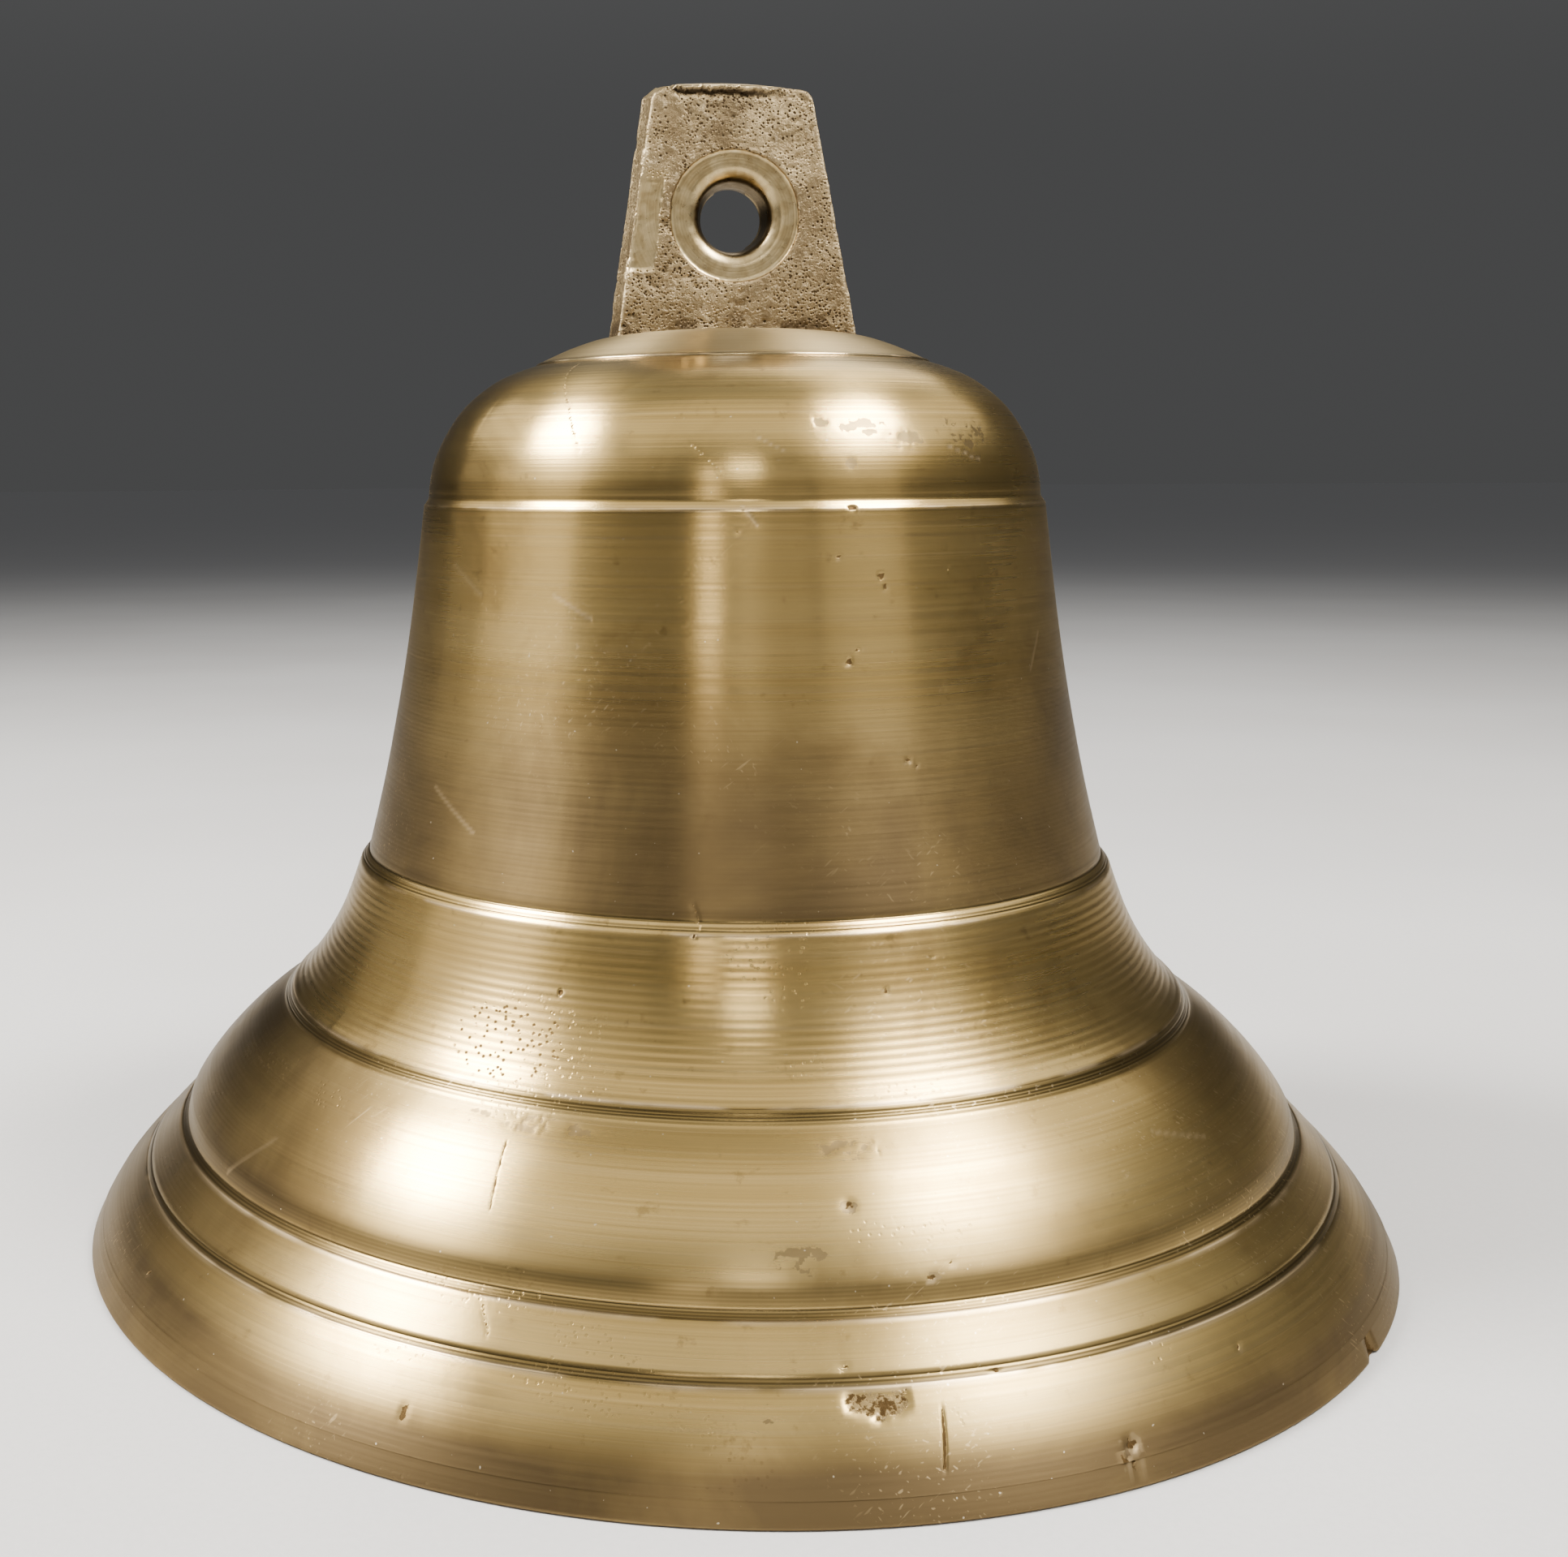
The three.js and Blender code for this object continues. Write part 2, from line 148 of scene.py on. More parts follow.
class Shader:
    """A material's node tree, built with short calls that take sockets or plain numbers."""

    def __init__(self, name):
        self.material = bpy.data.materials.new(name)
        self.material.use_nodes = True
        self.tree = self.material.node_tree
        self.principled = self.tree.nodes["Principled BSDF"]

    def put(self, socket, value):
        if isinstance(value, bpy.types.NodeSocket):
            self.tree.links.new(value, socket)
        elif socket.type == "RGBA" and len(value) == 3:
            socket.default_value = (*value, 1)
        else:
            socket.default_value = value

    def node(self, kind, inputs=(), **settings):
        node = self.tree.nodes.new(kind)
        for key, value in settings.items():
            setattr(node, key, value)
        for key, value in dict(inputs).items():
            self.put(node.inputs[key], value)
        return node

    def maths(self, operation, a, b=0.0, clamp=False):
        return self.node("ShaderNodeMath", {0: a, 1: b}, operation=operation, use_clamp=clamp).outputs[0]

    def times(self, a, b):
        return self.maths("MULTIPLY", a, b)

    def plus(self, a, b, clamp=False):
        return self.maths("ADD", a, b, clamp)

    def attribute(self, name):
        return self.node("ShaderNodeAttribute", attribute_name=name).outputs["Fac"]

    def mix(self, amount, a, b):
        node = self.node("ShaderNodeMix", data_type="RGBA")
        self.put(node.inputs[0], amount)
        self.put(node.inputs[6], a)
        self.put(node.inputs[7], b)
        return node.outputs[2]

    def noise(self, vector, scale, detail=4.0, roughness=0.5, distortion=0.0):
        inputs = {"Vector": vector, "Scale": scale, "Detail": detail, "Roughness": roughness}
        return self.node("ShaderNodeTexNoise", {**inputs, "Distortion": distortion}).outputs["Fac"]

    def cells(self, vector, scale):
        """The distance from the middle of the nearest of many scattered cells."""
        return self.node("ShaderNodeTexVoronoi", {"Vector": vector, "Scale": scale}).outputs["Distance"]

    def span(self, value, low, high, out_low=0.0, out_high=1.0):
        inputs = {"Value": value, "From Min": low, "From Max": high, "To Min": out_low, "To Max": out_high}
        return self.node("ShaderNodeMapRange", inputs, interpolation_type="SMOOTHSTEP").outputs[0]

    def scratches(self, place, turn, length):
        """Hair-fine scratches in one direction, "length" times longer than they are wide."""
        inputs = {"Vector": place, "Rotation": turn, "Scale": (1, 1, length)}
        slant = self.node("ShaderNodeMapping", inputs, vector_type="TEXTURE").outputs[0]
        return self.span(self.noise(slant, 2300, 1, 0.5), 0.67, 0.76)

    def torn(self, mark, grain, low, high, level=1.0):
        """A soft mark from the mesh with its edge torn by fine grain, so that it ends like a chip."""
        return self.span(self.plus(mark, self.span(grain, 0.25, 0.75, -0.30, 0.30)), low, high, 0, level)

    def position(self):
        return self.node("ShaderNodeTexCoord").outputs["Object"]

    def round_the_axis(self, around, along):
        """A seamless vector for marks that run round Z, with "along" steps per millimetre of profile."""
        parts = self.node("ShaderNodeSeparateXYZ", {0: self.position()})
        flat = self.node("ShaderNodeCombineXYZ", {0: parts.outputs[0], 1: parts.outputs[1]}).outputs[0]
        unit = self.node("ShaderNodeVectorMath", {0: flat}, operation="NORMALIZE").outputs[0]
        turn = self.node("ShaderNodeVectorMath", {0: unit, "Scale": around}, operation="SCALE").outputs[0]
        height = self.times(self.attribute("run"), along)
        rise = self.node("ShaderNodeCombineXYZ", {2: height}).outputs[0]
        return self.node("ShaderNodeVectorMath", {0: turn, 1: rise}, operation="ADD").outputs[0]

    def bump(self, height, distance, strength=1.0, normal=None):
        inputs = {"Height": height, "Distance": distance, "Strength": strength}
        if normal is not None:
            inputs["Normal"] = normal
        return self.node("ShaderNodeBump", inputs).outputs[0]

    def finish(self, **inputs):
        """Feeds the shader. Each keyword names one of its inputs, with _ for the space between two words."""
        for key, value in inputs.items():
            self.put(self.principled.inputs[key.replace("_", " ")], value)
        return self.material

    def finish_metal(self, colour, roughness, normal, **others):
        return self.finish(Base_Color=colour, Roughness=roughness, Normal=normal, Metallic=1.0,
                           Specular_Tint=EDGE_TINT, **others)


EDGE_TINT = (0.84, 0.78, 0.68)  # brass at a grazing angle
TOOL_PITCH = 0.66  # mm from one turning line to the next
GROOVE_PITCH = 0.47  # the same in the rings between the mouldings
# The second colour on the next line lightens the "bright" mark: rubbed metal at scratches and edges, and
# painted highlights on pit rims and moulding edges.
GLINT, RUBBED_AND_HIGHLIGHT = (0.74, 0.54, 0.26), (0.80, 0.60, 0.34)
SCRATCHED, DUSTY = (0.80, 0.60, 0.32), (0.80, 0.70, 0.52)
STREAK, OLIVE_FILM, CROWN_FILM = (0.68, 0.495, 0.215), (0.30, 0.225, 0.085), (0.40, 0.325, 0.19)
# The middle colour on the next line darkens the "worn" mark: tarnish in places, and painted shade near the
# rim, low on the bow and at the sides.
BROWN_SPOT, WORN_AND_SHADED, STAINED = (0.19, 0.115, 0.036), (0.144, 0.099, 0.046), (0.17, 0.122, 0.060)
# The first colour on the next line darkens the grooves and bands at the mouldings: partly dirt, partly
# painted shade.
GROOVE_DIRT_AND_SHADE, PIT_DIRT = (0.052, 0.036, 0.015), (0.085, 0.052, 0.020)


def turned_brass(name, light, dark, brown, roughness):
    """Brass off the lathe, dulled by handling: fine turning lines, bands that took the tool differently,
    brown and olive tarnish, and the marks that the mesh carries, such as "stain", "bright" and "pit".
    Some of these marks are painted light: painted shade in the grooves, near the rim and at the sides,
    and painted highlights on pit rims and moulding edges."""
    s = Shader(name)
    place = s.position()
    hairline = s.noise(s.round_the_axis(0.22, 5.5), 1.0, 2, 0.6)
    streak = s.noise(s.round_the_axis(0.2, 1.9), 1.0, 1, 0.5)
    band = s.noise(s.round_the_axis(0.4, 0.16), 1.0, 3, 0.5)
    blotch = s.noise(place, 26, 6, 0.6, 0.6)
    speck = s.noise(place, 330, 5, 0.68)
    film = s.noise(place, 9, 4, 0.55, 0.3)
    grain = s.noise(place, 1500, 4, 0.62)
    dust = s.span(s.noise(place, 1900, 0, 0.5), 0.86, 0.91, 0, 0.6)
    handled = s.span(s.noise(place, 21, 2, 0.5), 0.50, 0.68)
    one_way = s.scratches(place, (0.2, 0.9, 0.4), 26)
    other_way = s.scratches(place, (-0.3, -0.75, 0.9), 18)
    scratch = s.times(s.maths("MAXIMUM", one_way, other_way), handled)
    groove, worn, bright = s.attribute("groove"), s.attribute("worn"), s.attribute("bright")
    stain = s.torn(s.attribute("stain"), grain, 0.33, 0.45, 0.8)
    pit = s.torn(s.attribute("pit"), grain, 0.34, 0.62)
    pore = s.times(s.span(s.cells(place, 1150), 0.30, 0.18), s.span(s.attribute("pores"), 0.25, 0.6))
    pit = s.maths("MAXIMUM", pit, s.times(pore, 0.95))
    level = s.node("ShaderNodeSeparateXYZ", {0: place}).outputs["Z"]  # in metres
    crown = s.span(level, 0.1307, 0.1314)

    colour = s.mix(s.span(band, 0.36, 0.66), dark, light)
    for mark, start, full, most, tint in (
            (streak, 0.52, 0.70, 0.34, STREAK), (streak, 0.46, 0.30, 0.30, brown),
            (hairline, 0.44, 0.26, 0.20, brown), (hairline, 0.58, 0.72, 0.36, GLINT),
            (blotch, 0.50, 0.68, 0.60, brown), (film, 0.46, 0.68, 0.30, OLIVE_FILM),
            (speck, 0.60, 0.72, 0.40, BROWN_SPOT), (level, 0.1262, 0.1303, 0.75, CROWN_FILM)):
        colour = s.mix(s.span(mark, start, full, 0, most), colour, tint)
    # Tarnish and painted shade, from the "worn" mark.
    worn_and_shaded = s.times(worn, s.span(blotch, 0.30, 0.70, 0.65, 0.90))
    # Dirt and painted shade in the grooves, varied across each cut.
    cut = s.maths("SINE", s.times(s.attribute("run"), 2 * math.pi / GROOVE_PITCH))
    dirt_and_shade = s.times(groove, s.span(cut, -0.8, 0.8, 0.70, 0.97))
    for mask, tint in (
            (worn_and_shaded, WORN_AND_SHADED), (dirt_and_shade, GROOVE_DIRT_AND_SHADE), (stain, STAINED), (s.times(scratch, 0.45), SCRATCHED),
            (bright, RUBBED_AND_HIGHLIGHT), (dust, DUSTY), (pit, PIT_DIRT)):
        colour = s.mix(mask, colour, tint)

    streaked = s.span(streak, 0.3, 0.75, roughness + 0.02, roughness - 0.02)
    rough = s.plus(streaked, s.span(film, 0.4, 0.7, -0.02, 0.06))
    for mark, more in ((crown, 0.14), (pit, 0.25), (worn, 0.10)):
        rough = s.plus(rough, s.times(mark, more))
    rough = s.plus(rough, s.times(stain, 0.14), clamp=True)

    ridge = s.maths("SINE", s.times(s.attribute("run"), 2 * math.pi / TOOL_PITCH))
    ridge = s.times(ridge, s.span(worn, 0, 1, 0.05, 0.28))
    brushed = s.span(level, 0.1095, 0.1125, 0.3, 4.2)
    lines = s.plus(s.times(hairline, 0.65), s.times(streak, brushed))
    lines = s.plus(s.plus(lines, ridge), s.times(scratch, -0.5))
    normal = s.bump(lines, 0.000022, 0.24)
    normal = s.bump(speck, 0.00003, 0.3, normal)
    normal = s.bump(blotch, 0.0003, 0.08, normal)
    chipped = s.times(pit, s.maths("SUBTRACT", s.times(grain, 1.2), 1.1))
    normal = s.bump(chipped, 0.00012, 0.8, normal)
    tangent = s.node("ShaderNodeTangent", direction_type="RADIAL", axis="Z").outputs[0]
    return s.finish_metal(colour, rough, normal, Anisotropic=0.7, Anisotropic_Rotation=0.25, Tangent=tangent)


def cast_brass(name):
    """The lug, as cast and pitted except where the mesh says "ground", as on the spot face."""
    s = Shader(name)
    place = s.position()
    ground = s.attribute("ground")
    grain = s.noise(place, 900, 6, 0.7)
    lump = s.noise(place, 170, 5, 0.6, 0.3)
    blotch = s.noise(place, 75, 4, 0.55, 0.6)
    coarse, fine_pits = s.cells(place, 1000), s.cells(place, 1900)
    patchy = s.span(s.noise(place, 120, 3, 0.5), 0.40, 0.54)
    pit = s.times(s.span(coarse, 0.26, 0.12), patchy)
    small = s.times(s.span(fine_pits, 0.42, 0.22), s.span(lump, 0.40, 0.56))
    pit = s.maths("MAXIMUM", pit, small)
    pit = s.times(pit, s.span(ground, 0.2, 0.8, 1, 0.0))
    turning = s.node("ShaderNodeCombineXYZ", {2: s.times(s.attribute("run"), 3.2)}).outputs[0]
    turning = s.noise(turning, 1.0, 3, 0.6)
    smear = s.noise(place, 420, 4, 0.6, 0.4)
    colour = s.mix(s.span(blotch, 0.36, 0.64), (0.22, 0.160, 0.083), (0.42, 0.320, 0.174))
    colour = s.mix(s.span(lump, 0.35, 0.62, 0.6, 0), colour, (0.125, 0.087, 0.045))
    colour = s.mix(s.span(grain, 0.52, 0.70, 0, 0.55), colour, (0.62, 0.49, 0.29))
    filed = s.mix(s.span(smear, 0.36, 0.66), (0.47, 0.35, 0.170), (0.66, 0.52, 0.28))
    filed = s.mix(s.span(turning, 0.35, 0.6, 0.35, 0), filed, (0.30, 0.20, 0.075))
    filed = s.mix(s.span(blotch, 0.5, 0.7, 0, 0.45), filed, (0.30, 0.205, 0.085))
    colour = s.mix(ground, colour, filed)
    colour = s.mix(pit, colour, (0.050, 0.032, 0.016))
    # Darker where the mesh is stained, which takes in painted shade in the bore and under the top lip;
    # lighter where it is rubbed, which takes in painted highlights.
    colour = s.mix(s.attribute("stain"), colour, (0.055, 0.036, 0.019))
    colour = s.mix(s.attribute("bright"), colour, (0.74, 0.58, 0.33))
    rough = s.maths("SUBTRACT", s.span(grain, 0.3, 0.7, 0.46, 0.34), s.times(ground, 0.08))
    rough = s.plus(rough, s.times(pit, 0.3), clamp=True)
    cast_height = s.plus(s.times(grain, 0.7), lump)
    height = s.times(cast_height, s.span(ground, 0.1, 0.9, 1, 0.05))
    height = s.maths("SUBTRACT", height, s.times(pit, 0.8))
    normal = s.bump(height, 0.00042, 0.95)
    tool = s.plus(s.times(turning, 1.2), s.times(smear, 0.5))
    normal = s.bump(tool, 0.00005, 0.5, normal)
    return s.finish_metal(colour, rough, normal)


def raw_brass(name):
    """The bell's inside: turned once and never polished, dull brown with darker blotches and specks."""
    s = Shader(name)
    place = s.position()
    ring = s.noise(s.round_the_axis(1.0, 3.0), 1.0, 4, 0.7)
    blotch = s.noise(place, 30, 6, 0.62, 0.8)
    speck = s.noise(place, 420, 4, 0.7)
    colour = s.mix(s.span(blotch, 0.36, 0.66), (0.20, 0.14, 0.07), (0.40, 0.305, 0.165))
    colour = s.mix(s.span(ring, 0.42, 0.7, 0, 0.5), colour, (0.46, 0.36, 0.20))
    colour = s.mix(s.span(speck, 0.56, 0.72, 0, 0.6), colour, (0.12, 0.085, 0.045))
    rough = s.span(blotch, 0.3, 0.7, 0.62, 0.46)
    normal = s.bump(ring, 0.00016, 0.7)
    normal = s.bump(speck, 0.0001, 0.6, normal)
    return s.finish_metal(colour, rough, normal)


def machined(name, light, dark, roughness):
    """A small turned or milled fitting, with tool lines, handling blotches, darker creases and lighter edges.
    """
    s = Shader(name)
    place = s.position()
    squeezed = s.node("ShaderNodeMapping", {"Vector": place, "Scale": (1, 1, 6)}).outputs[0]
    tool = s.noise(squeezed, 700, 3, 0.6)
    blotch = s.noise(place, 160, 5, 0.6, 0.5)
    speck = s.noise(place, 1500, 3, 0.6)
    edge = s.node("ShaderNodeNewGeometry").outputs["Pointiness"]
    colour = s.mix(s.span(blotch, 0.38, 0.64), dark, light)
    colour = s.mix(s.span(speck, 0.6, 0.75, 0, 0.5), colour, tuple(0.4 * c for c in dark))
    colour = s.mix(s.span(edge, 0.50, 0.44, 0, 0.6), colour, tuple(0.35 * c for c in dark))
    colour = s.mix(s.span(edge, 0.53, 0.60, 0, 0.6), colour, tuple(min(1, 1.35 * c) for c in light))
    rough = s.span(tool, 0.3, 0.7, roughness - 0.06, roughness + 0.07)
    rough = s.plus(rough, s.span(blotch, 0.4, 0.7, -0.03, 0.05))
    normal = s.bump(tool, 0.00004, 0.6)
    normal = s.bump(speck, 0.00003, 0.5, normal)
    return s.finish_metal(colour, rough, normal)


def floor_material():
    s = Shader("floor_paper")
    place = s.position()
    fibre = s.noise(place, 900, 4, 0.7)
    cloud = s.noise(place, 5, 3, 0.5)
    away = s.node("ShaderNodeVectorMath", {0: place}, operation="LENGTH").outputs["Value"]
    colour = s.mix(s.span(cloud, 0.3, 0.7), (0.50, 0.49, 0.48), (0.55, 0.545, 0.535))
    colour = s.mix(s.span(fibre, 0.35, 0.65, 0.0, 0.25), colour, (0.45, 0.445, 0.435))
    # Darker with distance from the bell: a painted fall-off of light, as if the bell stood in a pool of
    # light.
    colour = s.mix(s.span(away, 0.25, 2.2, 0.0, 0.95), colour, (0.20, 0.20, 0.205))
    return s.finish(Base_Color=colour, Roughness=0.75, Normal=s.bump(fibre, 0.00005, 0.5))


# ---------------------------------------------------------------- numbers on grids

def noise2(x, y, seed, size=64):
    """Smooth noise from 0 to 1, one feature per unit, that repeats every "size" units."""
    grid = np.random.default_rng(seed).random((size, size))
    xi, yi = np.floor(x).astype(int), np.floor(y).astype(int)
    fx, fy = x - xi, y - yi
    fx, fy = fx * fx * (3 - 2 * fx), fy * fy * (3 - 2 * fy)
    xi, yi, xj, yj = xi % size, yi % size, (xi + 1) % size, (yi + 1) % size
    low = grid[xi, yi] * (1 - fx) + grid[xj, yi] * fx
    high = grid[xi, yj] * (1 - fx) + grid[xj, yj] * fx
    return low * (1 - fy) + high * fy


def cloud2(x, y, seed, octaves=4):
    total, weight, amount = 0, 0, 1.0
    for k in range(octaves):
        total = total + amount * noise2(x * 2 ** k, y * 2 ** k, seed + k)
        weight += amount
        amount *= 0.55
    return total / weight


def smoothstep(low, high, x):
    t = np.clip((x - low) / (high - low), 0, 1)
    return t * t * (3 - 2 * t)


def spline(points, step):
    """A smooth curve through [radius, height] points, sampled about every step."""
    p = np.array([points[0]] + [list(q) for q in points] + [points[-1]], float)
    out = []
    for i in range(1, len(p) - 2):
        count = max(2, int(math.ceil(np.linalg.norm(p[i + 1] - p[i]) / step)))
        t = (np.arange(count) / count)[:, None]
        a, b, c, d = p[i - 1], p[i], p[i + 1], p[i + 2]
        square, cube = (2 * a - 5 * b + 4 * c - d) * t ** 2, (3 * b - a - 3 * c + d) * t ** 3
        out.append(0.5 * (2 * b + (c - a) * t + square + cube))
    return np.vstack(out + [p[-1:]])


def run_along(path):
    """The length from the start of a path to each of its points."""
    return np.r_[0, np.cumsum(np.linalg.norm(np.diff(path, axis=0), axis=1))]


def rounded(points, radius, steps=4):
    """A path of straight lines with each inner corner rounded. radius is a number or one per point."""
    p = [np.array(q, float) for q in points]
    radii = radius if isinstance(radius, (list, tuple)) else [radius] * len(p)
    out = [p[0]]
    for i in range(1, len(p) - 1):
        before, after = p[i - 1] - p[i], p[i + 1] - p[i]
        room = 0.45 * min(np.linalg.norm(before), np.linalg.norm(after))
        cut = min(radii[i], room)
        if cut <= 0:
            out.append(p[i])
            continue
        start, end = p[i] + before / np.linalg.norm(before) * cut, p[i] + after / np.linalg.norm(after) * cut
        for t in np.linspace(0, 1, steps + 1):
            out.append((1 - t) ** 2 * start + 2 * t * (1 - t) * p[i] + t * t * end)
    out.append(p[-1])
    return np.array(out)


# ---------------------------------------------------------------- meshes

def new_object(name, verts, faces, sharp=None, attributes=()):
    mesh = bpy.data.meshes.new(name)
    mesh.from_pydata((np.asarray(verts) * MM).tolist(), [], faces)
    mesh.polygons.foreach_set("use_smooth", np.ones(len(mesh.polygons), bool))
    for key, values in dict(attributes).items():
        mesh.attributes.new(key, "FLOAT", "POINT").data.foreach_set("value", np.asarray(values, np.float32))
    mesh.validate()
    if sharp is not None:
        mesh.set_sharp_from_angle(angle=math.radians(sharp))
    return linked(name, mesh)


def from_bmesh(name, mesh):
    data = bpy.data.meshes.new(name)
    mesh.to_mesh(data)
    mesh.free()
    return linked(name, data)


def grid_faces(rows, columns, closed_rows, pole_start, pole_end):
    """Quads between rows of a turned grid, with fans at the poles. Rows run along the profile."""
    faces = []
    last = rows if closed_rows else rows - 1
    for i in range(last):
        a, b = i * columns, ((i + 1) % rows) * columns
        for j in range(columns):
            k = (j + 1) % columns
            faces.append((a + j, a + k, b + k, b + j))
    end = rows * columns
    if pole_start:
        faces += [(end, (j + 1) % columns, j) for j in range(columns)]
        end += 1
    if pole_end:
        top = (rows - 1) * columns
        faces += [(end, top + j, top + (j + 1) % columns) for j in range(columns)]
    return faces


def turned_mesh(name, profile, segments=96, sharp=40, shape=None, axis="Z", at=(0, 0, 0)):
    """A solid of revolution from an anticlockwise profile, which shape(angle, radius, height) may change."""
    profile = np.asarray(profile, float)
    pole_start, pole_end = profile[0][0] < 1e-6, profile[-1][0] < 1e-6
    closed = not (pole_start or pole_end)
    if closed and np.allclose(profile[0], profile[-1]):
        profile = profile[:-1]
    ring = profile[(1 if pole_start else 0):(len(profile) - 1 if pole_end else len(profile))]
    angles = np.arange(segments) * 2 * math.pi / segments
    radius = np.repeat(ring[:, :1], segments, 1)
    height = np.repeat(ring[:, 1:], segments, 1)
    turn = np.repeat(angles[None], len(ring), 0)
    if shape is not None:
        radius, height = shape(turn, radius, height)
    verts = np.stack([radius * np.cos(turn), radius * np.sin(turn), height], -1).reshape(-1, 3)
    run = np.repeat(run_along(ring), segments)
    for pole, index in ((pole_start, 0), (pole_end, -1)):
        if pole:
            verts = np.vstack([verts, [0, 0, profile[index][1]]])
            run = np.r_[run, run[0 if index == 0 else -1]]
    if axis == "Y":
        verts = verts[:, [1, 2, 0]]
    verts = verts + np.array(at)
    faces = grid_faces(len(ring), segments, closed, pole_start, pole_end)
    return new_object(name, verts, faces, sharp, {"run": run})


def crosswise(name, profile, segments=96, sharp=None, height=None):
    """A turned solid that lies along Y, on the pivot's axis or at another height."""
    at = (0, 0, PIVOT if height is None else height)
    return turned_mesh(name, profile, segments, sharp, axis="Y", at=at)


def joined(obj, other, operation="UNION"):
    """Applies a boolean of another object to obj and removes the other."""
    modifier = obj.modifiers.new("cut", "BOOLEAN")
    modifier.operation = operation
    modifier.solver = "EXACT"
    modifier.object = other
    apply_modifiers(obj)
    bpy.data.objects.remove(other)
    return obj


def apply_modifiers(obj):
    bpy.context.view_layer.update()
    evaluated = obj.evaluated_get(bpy.context.evaluated_depsgraph_get())
    mesh = bpy.data.meshes.new_from_object(evaluated)
    obj.modifiers.clear()
    obj.data = mesh


def dress(obj, material, body, slot, *nodes):
    obj.data.materials.clear()
    obj.data.materials.append(material)
    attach(obj, body)
    if nodes:
        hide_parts(*nodes)
    return obj


# ---------------------------------------------------------------- the bell casting

# [radius, height] where one stretch of the outside meets the next.
LIP_TOP, BAND_FOOT, BAND_TOP, BOW_FOOT = (91.5, 12.0), (90.5, 13.1), (86.2, 17.6), (84.9, 18.9)
BOW_TOP, FLARE_FOOT, FLARE_TOP, WAIST_FOOT = (70.0, 35.2), (68.6, 37.1), (57.8, 55.9), (56.5, 57.5)
WAIST_TOP, SHOULDER_FOOT = (47.1, 109.85), (46.4, 110.85)
SHOULDER_TOP, CAP_FOOT = (29.8, 130.55), (29.3, 131.0)
CAP_TOP, STEM_HOLE_TOP = 136.0, 134
BOSS_RADIUS, BOSS_HEIGHT, STEM_HOLE = 13.0, 126.8, 4.2
INSIDE_RUN = 500  # where the profile's run starts again on the inside
NOISE_STEP = 360 / 64  # degrees to a unit of noise, so that one turn of the bell is one repeat of it


def fine(points, step):
    """A path sampled evenly, so that fine grooves can be cut in it."""
    p = np.asarray(points, float)
    length = run_along(p)
    at = np.linspace(0, length[-1], max(2, int(round(length[-1] / step))) + 1)
    return np.stack([np.interp(at, length, p[:, 0]), np.interp(at, length, p[:, 1])], 1)


def outside_profile():
    """The outside from the rim up: its points, and the name of the stretch that each one lies on."""
    rim = rounded([(98.4, 0), (99.95, 0), (98.0, 4.0)], 0.9, 6)
    lip = fine(spline([(98.9, 2.4), (96.35, 6.6), (93.6, 9.9), LIP_TOP], 0.5), 0.55)
    step1 = fine(rounded([LIP_TOP, (91.2, 12.25), (90.75, 12.75), BAND_FOOT], 0.2), 0.14)
    band = fine([BAND_FOOT, BAND_TOP], 0.5)
    cove = fine(rounded([BAND_TOP, (85.5, 18.0), (85.1, 18.3), BOW_FOOT], 0.3), 0.14)
    bow = fine(spline([BOW_FOOT, (84.2, 21.2), (81.6, 24.9), (78.2, 28.6), (74.3, 32.1), BOW_TOP], 0.4), 0.5)
    step3 = fine([BOW_TOP, (69.3, 36.15), FLARE_FOOT], 0.13)
    flare = fine(spline([FLARE_FOOT, (66.3, 39.3), (63.2, 43.6), (60.4, 48.9), FLARE_TOP], 0.3), 0.2)
    step4 = fine([FLARE_TOP, (57.2, 56.7), WAIST_FOOT], 0.12)
    waist = fine(spline([WAIST_FOOT, (53.7, 69.0), (51.1, 82), (49.0, 95), WAIST_TOP], 0.5), 0.42)
    step5 = fine([WAIST_TOP, (46.8, 110.25), SHOULDER_FOOT], 0.10)
    crown = [(46.1, 113.5), (45.2, 117.0), (43.2, 121.0), (40.5, 124.6), (36.6, 127.75), (33, 129.5)]
    shoulder = fine(spline([SHOULDER_FOOT, *crown, SHOULDER_TOP], 0.4), 0.45)
    step6 = fine(rounded([SHOULDER_TOP, (29.75, 130.9), CAP_FOOT], 0.15), 0.12)
    cap = fine(spline([CAP_FOOT, (24.3, 133.2), (18.5, 134.8), (8, 135.7), (0.0, CAP_TOP)], 0.5), 0.6)
    names = "rim lip step1 band cove bow step3 flare step4 waist step5 shoulder step6 cap".split()
    parts = [rim, lip, step1, band, cove, bow, step3, flare, step4, waist, step5, shoulder, step6, cap]
    points, label = [], []
    for name, part in zip(names, parts):
        part = part if not points else part[1:]
        points.append(part)
        label += [name] * len(part)
    return np.vstack(points), np.array(label)


def inside_profile():
    """From the stem's hole down to the rim."""
    edge = (STEM_HOLE + 0.5, BOSS_HEIGHT)
    hole = [(0, STEM_HOLE_TOP), (STEM_HOLE, STEM_HOLE_TOP), (STEM_HOLE, BOSS_HEIGHT + 0.5), edge]
    boss = rounded([edge, (BOSS_RADIUS, BOSS_HEIGHT), (13.8, 126.0), (18, 126.2)], 0.3)
    dome = spline([(18, 126.2), (26, 125.3), (34.5, 121.7), (39.9, 115.2), (42.2, 108)], 0.8)
    wall = spline([(42.2, 108), (45.6, 88), (50, 62), (60.5, 34), (80.5, 12.5), (95.2, 0.6)], 1.0)
    rim = rounded([(95.2, 0.6), (95.6, 0), (98.4, 0)], 0.3)
    return np.vstack([hole, boss[1:], dome[1:], wall[1:], rim[1:-1]])
